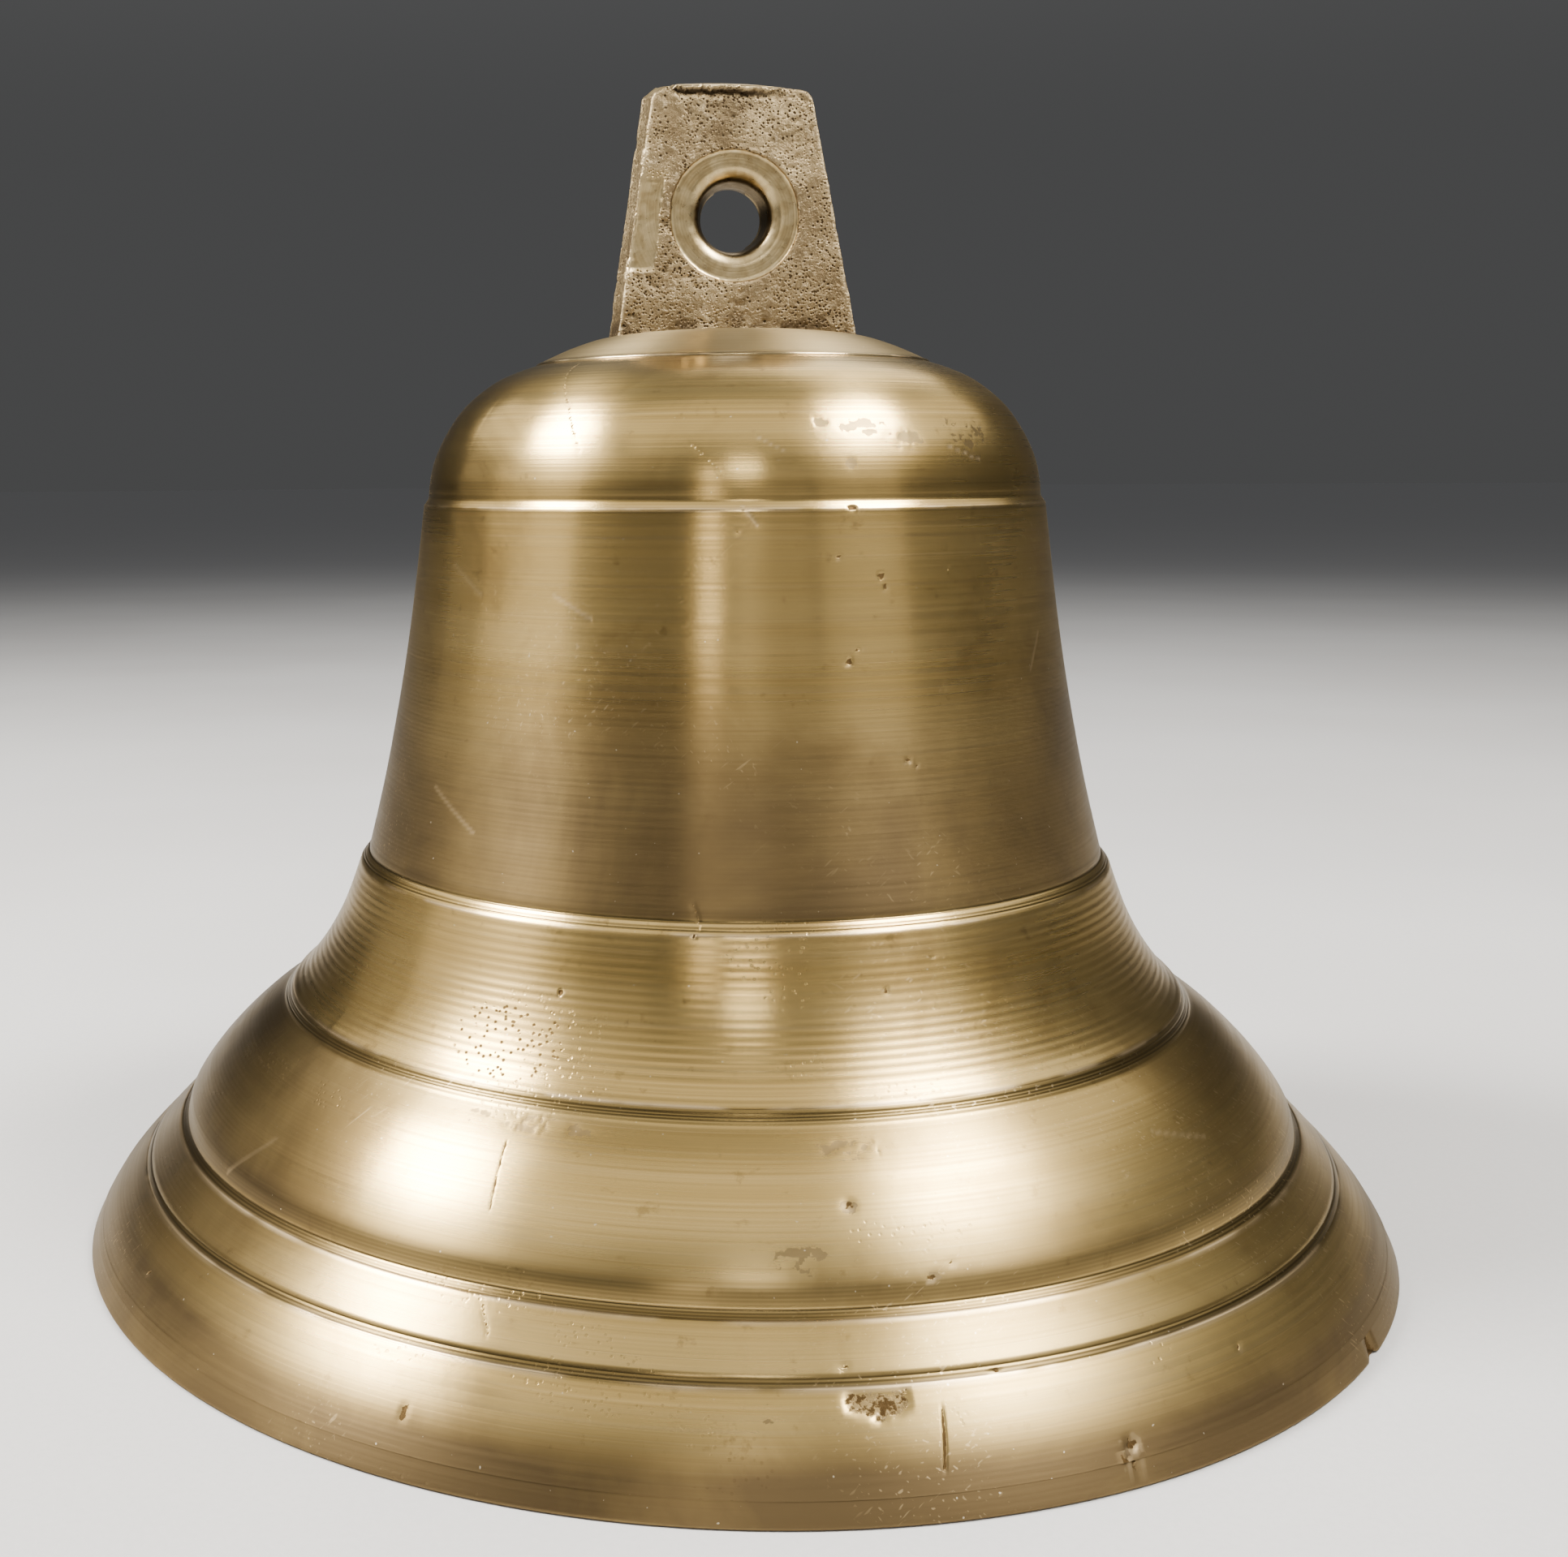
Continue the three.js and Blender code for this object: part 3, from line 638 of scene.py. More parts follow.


# What the tool left at the mouldings: (stretch, how far along it from 0 to 1, depth, half width, tint).
# The tint darkens grooves and bands, partly dirt and partly painted shade; the broad band low on the bow is
# painted shade.
GROOVES = (
    ("step1", 0.10, 0.05, 0.11, 0.9), ("step1", 0.50, 0.00, 0.95, 0.95), ("step1", 0.85, 0.10, 0.14, 1.0),
    ("cove", 0.20, 0.05, 0.12, 0.9), ("cove", 0.45, 0.00, 1.00, 0.90), ("cove", 0.80, 0.12, 0.16, 1.0),
    ("bow", 0.03, 0.00, 1.8, 0.55), ("step3", 0.52, 0.00, 1.15, 0.85), ("step3", 0.95, 0.03, 0.12, 1.0),
    ("step3", 0.26, 0.055, 0.11, 1.0), ("step3", 0.42, 0.055, 0.11, 1.0),
    ("step3", 0.58, 0.06, 0.11, 1.0), ("step4", 0.30, 0.055, 0.11, 1.0),
    ("step4", 0.52, 0.045, 0.10, 0.8), ("step4", 0.985, 0.08, 0.13, 1.0),
    ("waist", 0.008, 0.00, 0.7, 0.3), ("waist", 0.9935, 0.03, 0.10, 0.5),
    ("waist", 0.972, 0.015, 0.30, 0.15), ("shoulder", 0.004, 0.06, 0.13, 1.0),
    ("shoulder", 0.055, 0.01, 1.1, 0.35), ("shoulder", 0.90, 0.03, 0.35, 0.3),
    ("step6", 0.35, 0.05, 0.10, 0.8),
)

# Casting pores and small knocks: (angle, height, half width round the bell, half width along it, depth).
PITS = (
    (17, 101, 0.6, 0.5, 0.22), (17.6, 99.6, 0.35, 0.8, 0.16), (11, 90, 0.7, 0.6, 0.30),
    (12.5, 91.6, 0.8, 0.25, 0.12), (27, 86, 0.7, 0.4, 0.2), (19.5, 77, 0.7, 0.35, 0.2),
    (21, 76.3, 0.25, 0.6, 0.12), (10, 103.5, 0.4, 0.4, 0.12), (-6, 107, 0.5, 0.3, 0.12),
    (30, 101.5, 0.35, 0.35, 0.12), (12.7, 110, 0.9, 0.4, 0.25), (14, 109.6, 0.4, 0.3, 0.2),
    (21, 4.3, 1.0, 0.8, 0.45), (20.2, 3.0, 0.5, 0.9, 0.35), (-7, 1.8, 0.9, 0.5, 0.25),
    (-30, 6.6, 0.35, 1.2, 0.16), (3.4, 28.4, 1.0, 0.6, 0.10), (9.4, 21.2, 0.8, 0.4, 0.12),
    (11.3, 22.6, 0.5, 0.5, 0.10), (-28, 48, 0.5, 0.5, 0.2), (12.4, 49, 0.3, 0.8, 0.12),
    (19.3, 52.4, 0.3, 0.3, 0.15), (-11.5, 55.9, 0.4, 0.4, 0.15), (12.5, 12.5, 0.6, 0.4, 0.2),
    (1.3, 13.7, 0.8, 0.4, 0.2), (50.2, 0.6, 1.8, 0.7, 0.8), (-62, 7.5, 0.8, 0.5, 0.2),
    (34, 9.3, 0.5, 0.5, 0.15), (96, 70, 0.7, 0.5, 0.2), (118, 88, 0.5, 0.7, 0.2),
    (150, 30, 1.2, 0.6, 0.2), (171, 101, 0.6, 0.4, 0.2), (-98, 79, 0.6, 0.6, 0.2),
    (-120, 22, 1.0, 0.5, 0.2), (-143, 96, 0.5, 0.5, 0.15), (-160, 8, 1.3, 0.7, 0.3),
    (134, 9, 0.7, 0.9, 0.25), (82, 26, 0.9, 0.5, 0.15), (-86, 47, 0.4, 0.6, 0.15),
    (-171, 63, 0.5, 0.4, 0.15),
)

# ((angle, height) at each end, half width, depth, how bright it is or, below 0, how dark).
SCRATCHES = (
    ((-49, 129.8), (-39, 123.7), 0.16, 0.03, -0.5), ((-39, 123.7), (-33.5, 117.5), 0.16, 0.03, -0.6),
    ((-14, 118.5), (-8.7, 114.8), 0.14, 0.03, -0.6), ((-5.2, 110.3), (-2.9, 107.8), 0.20, 0.05, 0.6),
    ((-28.9, 32.4), (-28.0, 26.0), 0.12, 0.012, -0.75), ((7.9, 9.9), (7.3, 5.2), 0.16, 0.10, -0.95),
    ((-26.5, 16.8), (-25.4, 14.6), 0.14, 0.02, -0.6), ((-61, 102), (-52, 98), 0.28, 0.02, 0.3),
    ((-36, 98.5), (-29, 95.5), 0.26, 0.03, 0.45), ((-58, 71), (-47, 66), 0.26, 0.02, 0.25),
    ((-61, 20), (-56, 26), 0.30, 0.02, 0.2), ((-11.8, 59.5), (-10.6, 56.4), 0.2, 0.05, -0.5),
    ((49, 87), (54, 92), 0.26, 0.03, 0.35), ((104, 33), (108, 27), 0.2, 0.05, -0.6),
    ((141, 118), (150, 114), 0.16, 0.03, -0.5), ((-110, 99), (-102, 90), 0.15, 0.03, 0.6),
    ((-135, 31), (-131, 25), 0.2, 0.05, -0.6), ((172, 84), (-178, 80), 0.15, 0.03, 0.6),
    ((33, 118), (41, 116), 0.15, 0.03, 0.6), ((-3, 119.3), (2, 117.2), 0.12, 0.02, 0.5),
    ((38, 30), (45, 27.5), 0.18, 0.03, 0.4),
)

# (angle, height, half width round the bell, half width along it, strength, lowest and highest noise kept).
STAINS = (
    (16.5, 120.4, 4.2, 1.3, 1.0, 0.40, 0.50), (8.6, 121.1, 1.4, 0.8, 0.9, 0.36, 0.5),
    (24, 118.7, 3.6, 1.6, 0.9, 0.42, 0.52), (-4.2, 10.2, 1.6, 0.8, 0.9, 0.40, 0.52),
    (4.6, 33.2, 5.2, 1.1, 0.8, 0.45, 0.56), (-1, 23.6, 4.2, 1.8, 0.8, 0.46, 0.58),
    (3.4, 28.3, 1.3, 0.8, 0.9, 0.36, 0.5), (9.5, 21.3, 1.2, 0.6, 0.9, 0.36, 0.5),
    (-28, 34, 13, 0.9, 0.8, 0.46, 0.58), (21, 4.2, 1.9, 1.5, 0.8, 0.40, 0.55),
    (13, 115.6, 1.0, 0.9, 0.9, 0.34, 0.46), (40, 119, 6, 4, 0.5, 0.45, 0.57),
    (120, 48, 9, 3, 0.5, 0.5, 0.62), (-150, 90, 8, 4, 0.4, 0.52, 0.64), (165, 20, 9, 2, 0.5, 0.5, 0.62),
    (-100, 11, 7, 1.5, 0.5, 0.5, 0.62),
)

FLARE_PITCH = 1.17  # mm between the rings that the tool left on the flare


def bell_angles():
    """Columns round the bell in degrees: closer where the marks are, and closest at thin scratches."""
    angle = [-62.0]
    while angle[-1] < 296.8:
        at = angle[-1]
        thin = -29.3 < at < -27.6 or -26.8 < at < -25.2 or 6.8 < at < 8.3
        angle.append(at + (0.12 if thin else 0.36 if at < 56 else 1.15))
    return np.array(angle)


def apart(angle, centre):
    return (angle - centre + 180) % 360 - 180


def place_on(label, name, at, run):
    """The run of the profile at a share of the named stretch."""
    rows = np.flatnonzero(label == name)
    return np.interp(at, [0, 1], [run[rows[0], 0], run[rows[-1], 0]])


def bell_marks(angle, radius, height, label, run):
    """What the years and the lathe left on the outside: an inward depth, and marks for the material."""
    def round_from(centre):
        return np.radians(apart(angle, centre)) * radius

    depth, stain = np.zeros_like(radius), np.zeros_like(radius)
    bright, pit, groove = np.zeros_like(radius), np.zeros_like(radius), np.zeros_like(radius)
    arc = np.radians(angle) * radius
    wobble = cloud2(angle / (2 * NOISE_STEP) + 32, run / 9, 5, 2) - 0.5
    ragged = cloud2(arc / 1.1 + 200, run / 0.8 + 60, 21, 3)
    streaky = cloud2(arc / 3.4 + 200, run / 0.55 + 60, 31, 3)
    # Each groove is cut in and darkened, partly as painted shade.
    for name, at, cut, half, tint in GROOVES:
        line = np.exp(-np.abs((run - place_on(label, name, at, run)) / half) ** 3)
        depth += cut * line
        groove = np.maximum(groove, line * tint)
    is_on = {name: (label == name)[:, None] for name in ("rim", "bow", "flare", "waist", "cap")}
    ring = run + 0.10 * (noise2(angle / (4 * NOISE_STEP) + 32, run / 3, 9) - 0.5)
    strength = 0.5 + 0.9 * noise2(run / 2.2, angle / (8 * NOISE_STEP) + 16, 14)
    depth += is_on["flare"] * 0.012 * strength * np.sin(2 * math.pi * ring / FLARE_PITCH)
    depth += 0.045 * wobble * ~is_on["rim"]
    for centre, level, across, along, cut in PITS:
        across, along, cut = 0.72 * across, 0.72 * along, 0.6 * cut
        x = round_from(centre)
        d = np.hypot(x / across, (height - level) / along) + 0.9 * (ragged - 0.5)
        hole = smoothstep(1.15, 0.55, d)
        depth += cut * hole
        pit = np.maximum(pit, hole * min(1, cut / 0.1))
        # A painted highlight on the lower rim of each pit.
        bright = np.maximum(bright, 0.3 * np.exp(-((d - 1.35) / 0.22) ** 2) * (height < level))
    for (a1, h1), (a2, h2), half, cut, tone in SCRATCHES:
        x, length = round_from(a1), np.radians(apart(a2, a1)) * radius
        t = np.clip((x * length + (height - h1) * (h2 - h1)) / (length ** 2 + (h2 - h1) ** 2), 0, 1)
        d = np.hypot(x - t * length, height - h1 - t * (h2 - h1)) + 0.10 * (ragged - 0.5)
        line = smoothstep(half * 1.5, half * 0.3, d) * (np.abs(apart(angle, a1)) < 40)
        depth += cut * line
        if tone > 0:
            bright = np.maximum(bright, tone * line)
        else:
            pit = np.maximum(pit, -tone * line)
    for centre, level, across, along, strength, low, high in STAINS:
        x = round_from(centre)
        d = np.hypot(x / across, (height - level) / along)
        patch = smoothstep(1.1, 0.5, d) * smoothstep(low, high, 0.5 * ragged + 0.5 * streaky)
        stain = np.maximum(stain, strength * patch)
        depth += 0.04 * strength * patch
    # A flaw in the casting under the lip's edge: flat along its top, ragged below, and rough inside.
    x = round_from(3.4)
    foot = 9.6 + 0.16 * np.abs(x - 0.4) + 1.5 * (ragged - 0.5)
    flaw = smoothstep(3.9, 3.2, np.abs(x)) * smoothstep(foot - 0.2, foot + 0.3, height)
    flaw = flaw * smoothstep(11.8, 11.5, height)
    depth += 0.22 * flaw
    stain = np.maximum(stain, 0.7 * flaw)
    pit = np.maximum(pit, flaw * (0.38 + 0.40 * smoothstep(0.44, 0.60, ragged)))
    peppered = smoothstep(1.1, 0.4, np.hypot(round_from(-33) / 12, (height - 42) / 5.5))
    scattered = smoothstep(0.5, 0.75, cloud2(arc / 14 + 90, run / 9 + 30, 77, 2)) * smoothstep(72, 56, height)
    peppered = np.maximum(peppered, 0.35 * scattered)
    # Lighter lines in patches along some moulding edges: partly rubbed metal, partly painted highlight.
    edges = {"step4": 0.0, "step3": 1.0, "step5": 0.0, "step6": 0.25, "step1": 0.05, "cove": 0.0}
    patchy = smoothstep(0.3, 0.6, cloud2(angle / NOISE_STEP + 32, run / 4, 61, 3))
    for name, at in edges.items():
        rub_and_highlight = np.exp(-((run - place_on(label, name, at, run)) / 0.22) ** 2) * patchy
        bright = np.maximum(bright, 0.75 * rub_and_highlight)
    nick = smoothstep(1.1, 0.4, np.hypot(round_from(50) / 2.2, height / 1.2))
    depth += 0.6 * nick
    # Darker and duller low on the waist and on the cap, where the polish has gone; painted shade near the
    # rim, low on the bow, at the sides and low on the left.
    on_waist = is_on["waist"] * smoothstep(98, 66, height) * 1.12
    shade_low_on_bow = is_on["bow"] * smoothstep(25, 20, height) * 0.5
    shade_at_sides = 0.55 * smoothstep(38, 75, np.abs(apart(angle, -8))) * smoothstep(112, 100, height)
    on_cap = is_on["cap"] * 0.3
    shade_low_left = smoothstep(-34, -56, apart(angle, 0)) * smoothstep(-150, -110, apart(angle, 0))
    worn = on_cap + on_waist + shade_low_on_bow + 1.3 * smoothstep(10.5, 3.5, height) + shade_at_sides
    worn = np.clip(worn + 0.65 * shade_low_left * smoothstep(38, 34, height), 0, 1.3)
    marks = {"stain": stain, "bright": bright, "pit": pit, "groove": groove, "pores": peppered, "worn": worn}
    return depth, marks


def make_bell():
    outer, label = outside_profile()
    outer, label = outer[:-1], label[:-1]
    inner = inside_profile()
    angle = bell_angles()
    turn = np.radians(angle)
    tangent = np.gradient(outer, axis=0)
    tangent /= np.linalg.norm(tangent, axis=1)[:, None]
    length = run_along(outer)
    columns = len(angle)

    def spread(values):
        return np.repeat(np.asarray(values)[:, None], columns, 1)

    radius, height, run = spread(outer[:, 0]), spread(outer[:, 1]), spread(length)
    depth, marks = bell_marks(np.repeat(angle[None], len(outer), 0), radius, height, label, run)
    fade = spread(np.clip(outer[:, 0] / 20, 0, 1))
    radius = radius - depth * fade * spread(tangent[:, 1])
    height = np.maximum(0.0, height + depth * fade * spread(tangent[:, 0]))
    inner_radius, inner_height = spread(inner[1:, 0]), spread(inner[1:, 1])
    inner_run = INSIDE_RUN + run_along(inner[1:])
    inner_angle = np.repeat(angle[None], len(inner) - 1, 0)
    rough_inside = cloud2(inner_angle / NOISE_STEP + 32, spread(inner_run) / 6, 41, 3) - 0.5
    inner_radius = inner_radius + 0.25 * rough_inside * (inner_height > 3) * (inner_radius > 20)
    all_radius, all_height = np.vstack([radius, inner_radius]), np.vstack([height, inner_height])
    x, y = all_radius * np.sin(turn), -all_radius * np.cos(turn)
    verts = np.stack([x, y, all_height], -1).reshape(-1, 3)
    rows, outer_rows = len(all_radius), len(outer)
    # The grid runs from the rim up to near the axis, then from the stem's hole down to the rim again.
    faces = []
    for i in list(range(outer_rows - 1)) + list(range(outer_rows, rows - 1)) + [rows - 1]:
        a, b = i * columns, ((i + 1) % rows) * columns
        faces += [(a + j, a + (j + 1) % columns, b + (j + 1) % columns, b + j) for j in range(columns)]
    top, bottom = len(verts), len(verts) + 1
    verts = np.vstack([verts, [0, 0, CAP_TOP], [0, 0, STEM_HOLE_TOP]])
    ring = (outer_rows - 1) * columns
    faces += [(top, ring + j, ring + (j + 1) % columns) for j in range(columns)]
    ring = outer_rows * columns
    faces += [(bottom, ring + (j + 1) % columns, ring + j) for j in range(columns)]
    tail = [0.0] * (len(verts) - outer_rows * columns)
    attributes = {key: np.r_[values.ravel(), tail] for key, values in marks.items()}
    attributes["run"] = np.r_[run.ravel(), spread(inner_run).ravel(), length[-1], INSIDE_RUN]
    bell = new_object("bell_body", verts, faces, 50, attributes)
    inside = np.zeros(len(faces), np.int32)
    inside[(outer_rows - 1) * columns:-2 * columns - columns] = 1
    inside[-columns:] = 1
    return bell, inside


# ---------------------------------------------------------------- the lug

LUG_FOOT, LUG_BASE, LUG_SHOULDER, LUG_TOP = 129.5, 136.2, 168.3, 172.2
LUG_HALF_WIDTH, LUG_HALF_DEPTH = (17.5, 12), (6.9, 5.75)  # at the base and at the top
HOLE_HEIGHT = 152.1


def lug_outline(grow):
    """The broad face's outline, [x, z], from the foot's left corner anticlockwise seen from the front."""
    at_base, at_top = LUG_HALF_WIDTH
    half = at_top + grow
    slope = (at_base - at_top) / (LUG_SHOULDER - LUG_BASE)
    foot = at_base + slope * (LUG_BASE - LUG_FOOT) + grow
    top = LUG_TOP - 0.8 + grow
    crown = [(t * (half - 2.0), top - 0.55 - 0.45 * t * t - 0.25 * t) for t in np.linspace(1, -0.8, 9)]
    corner = [(half, LUG_SHOULDER), (half - 0.35, top - 2.2), (half - 1.0, top - 1.5)]
    chamfer = [(-half + 2.2, top - 0.75), (-half + 0.15, top - 2.3)]
    return [(-foot, LUG_FOOT), (foot, LUG_FOOT)] + corner + crown + chamfer


def lug_taper(z):
    """The lug's depth at a height, as a share of its depth at the base."""
    at_base, at_top = LUG_HALF_DEPTH
    return 1 - (z - LUG_BASE) / (LUG_TOP - LUG_BASE) * (1 - at_top / at_base)


def lug_blank():
    """The lug before it is drilled: four outlines from front to back, the middle two a little larger."""
    mesh = bmesh.new()
    loops = []
    face = LUG_HALF_DEPTH[0]
    for y, grow in ((-face, 0.0), (-0.5, 0.8), (0.5, 0.8), (face, 0.0)):
        outline = lug_outline(grow)
        loops.append([mesh.verts.new((x * MM, y * lug_taper(z) * MM, z * MM)) for x, z in outline])
    for near, far in zip(loops, loops[1:]):
        for i in range(len(near)):
            j = (i + 1) % len(near)
            mesh.faces.new((near[i], far[i], far[j], near[j]))
    mesh.faces.new(loops[0])
    mesh.faces.new(list(reversed(loops[-1])))
    bmesh.ops.recalc_face_normals(mesh, faces=mesh.faces)
    return from_bmesh("bell_lug", mesh)


def lug_hole_profile():
    """Drilled, countersunk and spot-faced from both sides, [radius, distance from the middle plane]."""
    half = [(4.75, 1.2), (5.2, 4.0), (5.75, 5.0), (7.0, 5.72), (9.6, 5.72), (9.6, 9)]
    half = rounded(half, [0, 1, 0.8, 0.5, 0.12, 0], 6)
    back = half[::-1] * (1, -1)
    return np.vstack([[(0, -9)], back, [(4.7, 0)], half, [(0, 9)]])


def make_lug():
    """The lug, drilled and then remeshed finely enough for its cast skin to be pits and lumps in the mesh."""
    lug = lug_blank()
    joined(lug, crosswise("hole_cutter", lug_hole_profile(), 128, None, HOLE_HEIGHT), "DIFFERENCE")
    remesh = lug.modifiers.new("remesh", "REMESH")
    remesh.mode = "VOXEL"
    remesh.voxel_size = 0.27 * MM
    apply_modifiers(lug)
    mesh = lug.data
    count = len(mesh.vertices)
    place, normal = np.zeros(count * 3), np.zeros(count * 3)
    mesh.vertices.foreach_get("co", place)
    mesh.vertices.foreach_get("normal", normal)
    place, normal = place.reshape(-1, 3) / MM, normal.reshape(-1, 3)
    x, y, z = place.T
    from_hole = np.hypot(x, z - HOLE_HEIGHT)
    half = LUG_HALF_DEPTH[0] * lug_taper(z)
    front, face = y < 0, np.abs(normal[:, 1]) > 0.7
    # Metal taken off after casting: round the hole, the top, and a filed patch low on the front's left.
    ring = smoothstep(9.85, 9.55, from_hole) * (np.abs(y) < 5.95)
    edge_left = -(LUG_HALF_WIDTH[0] - (z - LUG_BASE) * 0.171)
    patch_noise = cloud2(x / 2.2 + 40, z / 4 + 10, 71, 3)
    patch = smoothstep(4.6, 3.4, x - edge_left + 1.6 * (patch_noise - 0.5))
    patch = patch * smoothstep(143.5, 145, z) * smoothstep(160, 156, z)
    ragged = cloud2(x / 1.6 + 40, y / 2 + 20, 72, 4)
    top = smoothstep(169.6, 170.6, z + 1.2 * (ragged - 0.5)) * (normal[:, 2] > 0.5)
    back_patch = smoothstep(9, 7, np.hypot(x - 5, z - 142)) * (patch_noise > 0.42)
    ground = np.maximum.reduce([ring, patch * front * face, 0.8 * top, 0.8 * back_patch * ~front * face])
    rough = 1 - 0.93 * ground
    lumps = cloud2(x / 5.5 + 40, z / 5.5 + 10, 81, 3) + cloud2(y / 4 + 40, z / 5 + 50, 82, 2) - 1.0
    grit = cloud2(x / 0.9 + y / 1.4 + 60, z / 0.9 + 10, 83, 3) - 0.5
    pores = smoothstep(0.74, 0.86, noise2(x / 0.72 + y / 1.9 + 80, z / 0.72 + 10, 84))
    pores = pores * smoothstep(0.42, 0.6, cloud2(x / 4 + 50, z / 5 + 9, 85, 2))
    push = rough * (0.20 * lumps + 0.12 * grit - 0.22 * pores)
    # A ragged lip of metal along the top of the front, with a smooth filed strip over it.
    # The strip is painted lighter, partly as a painted highlight, and the hollow under the lip is painted
    # dark as painted shade.
    along = smoothstep(-9.6, -8.6, x) * smoothstep(9.5, 1.6, x)
    strip_foot = 170.2 - 0.05 * x + 1.3 * (cloud2(x / 1.3 + 40, x * 0 + 3, 91, 3) - 0.5)
    strip = along * smoothstep(strip_foot - 0.10, strip_foot + 0.12, z) * smoothstep(-3.6, -4.3, y)
    under = along * smoothstep(strip_foot + 0.1, strip_foot - 0.15, z)
    under = under * smoothstep(strip_foot - 1.6, strip_foot - 0.3, z) * (y < -4)
    push = push * (1 - strip) - 0.50 * under + 0.15 * strip
    # The seam of the mould along the sides, and small burrs on the front's left edge.
    seam = np.exp(-(y / 0.45) ** 2) * (np.abs(normal[:, 0]) > 0.5)
    push = push + 0.16 * seam * (0.5 + ragged)
    burr = smoothstep(0.62, 0.75, noise2(z / 1.3, x * 0 + 4, 95))
    burr = burr * smoothstep(1.0, 0.3, np.abs(x - edge_left)) * (y < -half + 1.0)
    push = push + 0.22 * burr
    place = place + normal * push[:, None]
    place[:, 0] -= 0.02 * (z - 136)
    place[:, 2] = np.minimum(place[:, 2], LUG_TOP)
    mesh.vertices.foreach_set("co", (place * MM).ravel())
    # The dark "stain" mark: painted shade inside the bore and in the hollow under the top lip, and darker
    # patches towards the foot and at the top of the face.
    stain = 0.92 * smoothstep(6.5, 5.3, from_hole)
    low = smoothstep(139.5, 135.5, z) * smoothstep(0.42, 0.62, cloud2(x / 2.5 + 40, z / 1.6 + 10, 97, 3))
    dark_top = smoothstep(161, 168, z) * smoothstep(7, 2, np.abs(x + 1))
    dark_top = dark_top * smoothstep(0.42, 0.62, cloud2(x / 3.5 + 40, z / 3 + 10, 98, 3))
    stain = np.maximum.reduce([stain, 0.75 * low, 0.6 * dark_top * face, under])
    # The light "bright" mark: the filed strip, burrs, the seam and the face's side edges, partly rubbed metal
    # and partly painted highlight.
    corner = np.exp(-((np.abs(x) + edge_left) / 0.35) ** 2)
    corner = 0.5 * corner * (np.abs(normal[:, 1]) > 0.3)
    bright = np.maximum.reduce([0.55 * strip, 0.5 * burr, 0.45 * seam * ragged, corner])
    for key, values in (("ground", ground), ("stain", stain), ("bright", bright), ("run", from_hole)):
        mesh.attributes.new(key, "FLOAT", "POINT").data.foreach_set("value", values.astype(np.float32))
    mesh.polygons.foreach_set("use_smooth", np.ones(len(mesh.polygons), bool))
    return lug


# ---------------------------------------------------------------- staple, pivot and clapper

PIVOT, FORK_TOP, SLOT_TOP = 109.0, 119.3, 115.7
SPLIT_PIN_AT = 9.1  # along the pivot pin


def block_with_edges(name, outline, half, edge):
    """A prism from an [x, z] outline, with all its edges rounded, lying along Y."""
    mesh = bmesh.new()
    near = [mesh.verts.new((x * MM, -half * MM, z * MM)) for x, z in outline]
    far = [mesh.verts.new((x * MM, half * MM, z * MM)) for x, z in outline]
    mesh.faces.new(near)
    mesh.faces.new(list(reversed(far)))
    for i in range(len(near)):
        j = (i + 1) % len(near)
        mesh.faces.new((near[i], far[i], far[j], near[j]))
    bmesh.ops.recalc_face_normals(mesh, faces=mesh.faces)
    sharp = [e for e in mesh.edges if e.calc_face_angle(0) > math.radians(30)]
    bmesh.ops.bevel(mesh, geom=sharp, offset=edge * MM, segments=3, affect="EDGES", profile=0.5)
    return from_bmesh(name, mesh)


def shaded(obj, sharp=35):
    obj.data.polygons.foreach_set("use_smooth", np.ones(len(obj.data.polygons), bool))
    obj.data.set_sharp_from_angle(angle=math.radians(sharp))
    return obj


def thread_shape(pitch, depth):
    """A radius change that winds a thread round a bar, for turned_mesh."""
    def shape(turn, radius, height):
        phase = (height / pitch - turn / (2 * math.pi)) % 1.0
        return radius - depth * np.abs(2 * phase - 1) ** 0.8 * (radius > 1.5), height
    return shape


def threaded_bar(name, radius, bottom, top, pitch, depth):
    """A bar with a thread all along it and a chamfer at each end."""
    rows = [(radius, z) for z in np.arange(bottom + 0.5, top - 0.5, pitch / 7)]
    profile = [(0, bottom), (radius - 0.6, bottom)] + rows + [(radius - 0.6, top), (0, top)]
    return turned_mesh(name, profile, 64, None, thread_shape(pitch, depth))


def hexagon(across):
    """A turned blank's corners cut to six flats: where the radius passes a flat it is held to it."""
    def shape(turn, radius, height):
        flat = across / 2 / np.cos((turn + math.pi / 6) % (math.pi / 3) - math.pi / 6)
        return np.minimum(radius, np.where(radius > across * 0.42, flat, radius)), height
    return shape


def hex_nut(name, across, bore, bottom, top):
    """A nut from its size across the flats, with bevelled corners and a countersunk bore."""
    corner = across / math.sqrt(3)
    bevel = 0.42
    side = [(corner, z) for z in np.linspace(bottom + bevel + 0.25, top - bevel - 0.25, 5)]
    flat, slope = across * 0.44, across * 0.475
    lower = [(bore + 0.5, bottom), (flat, bottom), (slope, bottom + 0.05), (corner, bottom + bevel + 0.2)]
    upper = [(corner, top - bevel - 0.2), (slope, top - 0.05), (flat, top), (bore + 0.5, top)]
    inner = [(bore, top - 0.5), (bore, bottom + 0.5)]
    return turned_mesh(name, lower + side + upper + inner + [lower[0]], 144, 30, hexagon(across))


def ring_profile(inner, outer, low, high, edge=0.2):
    start = (inner + edge, low)
    return rounded([start, (outer, low), (outer, high), (inner, high), (inner, low), start], edge, 3)


def pivot_hole(obj, half):
    """Bores the hole that the pivot pin goes through."""
    joined(obj, crosswise("pin_hole", [(0, -half), (3.1, -half), (3.1, half), (0, half)], 64), "DIFFERENCE")


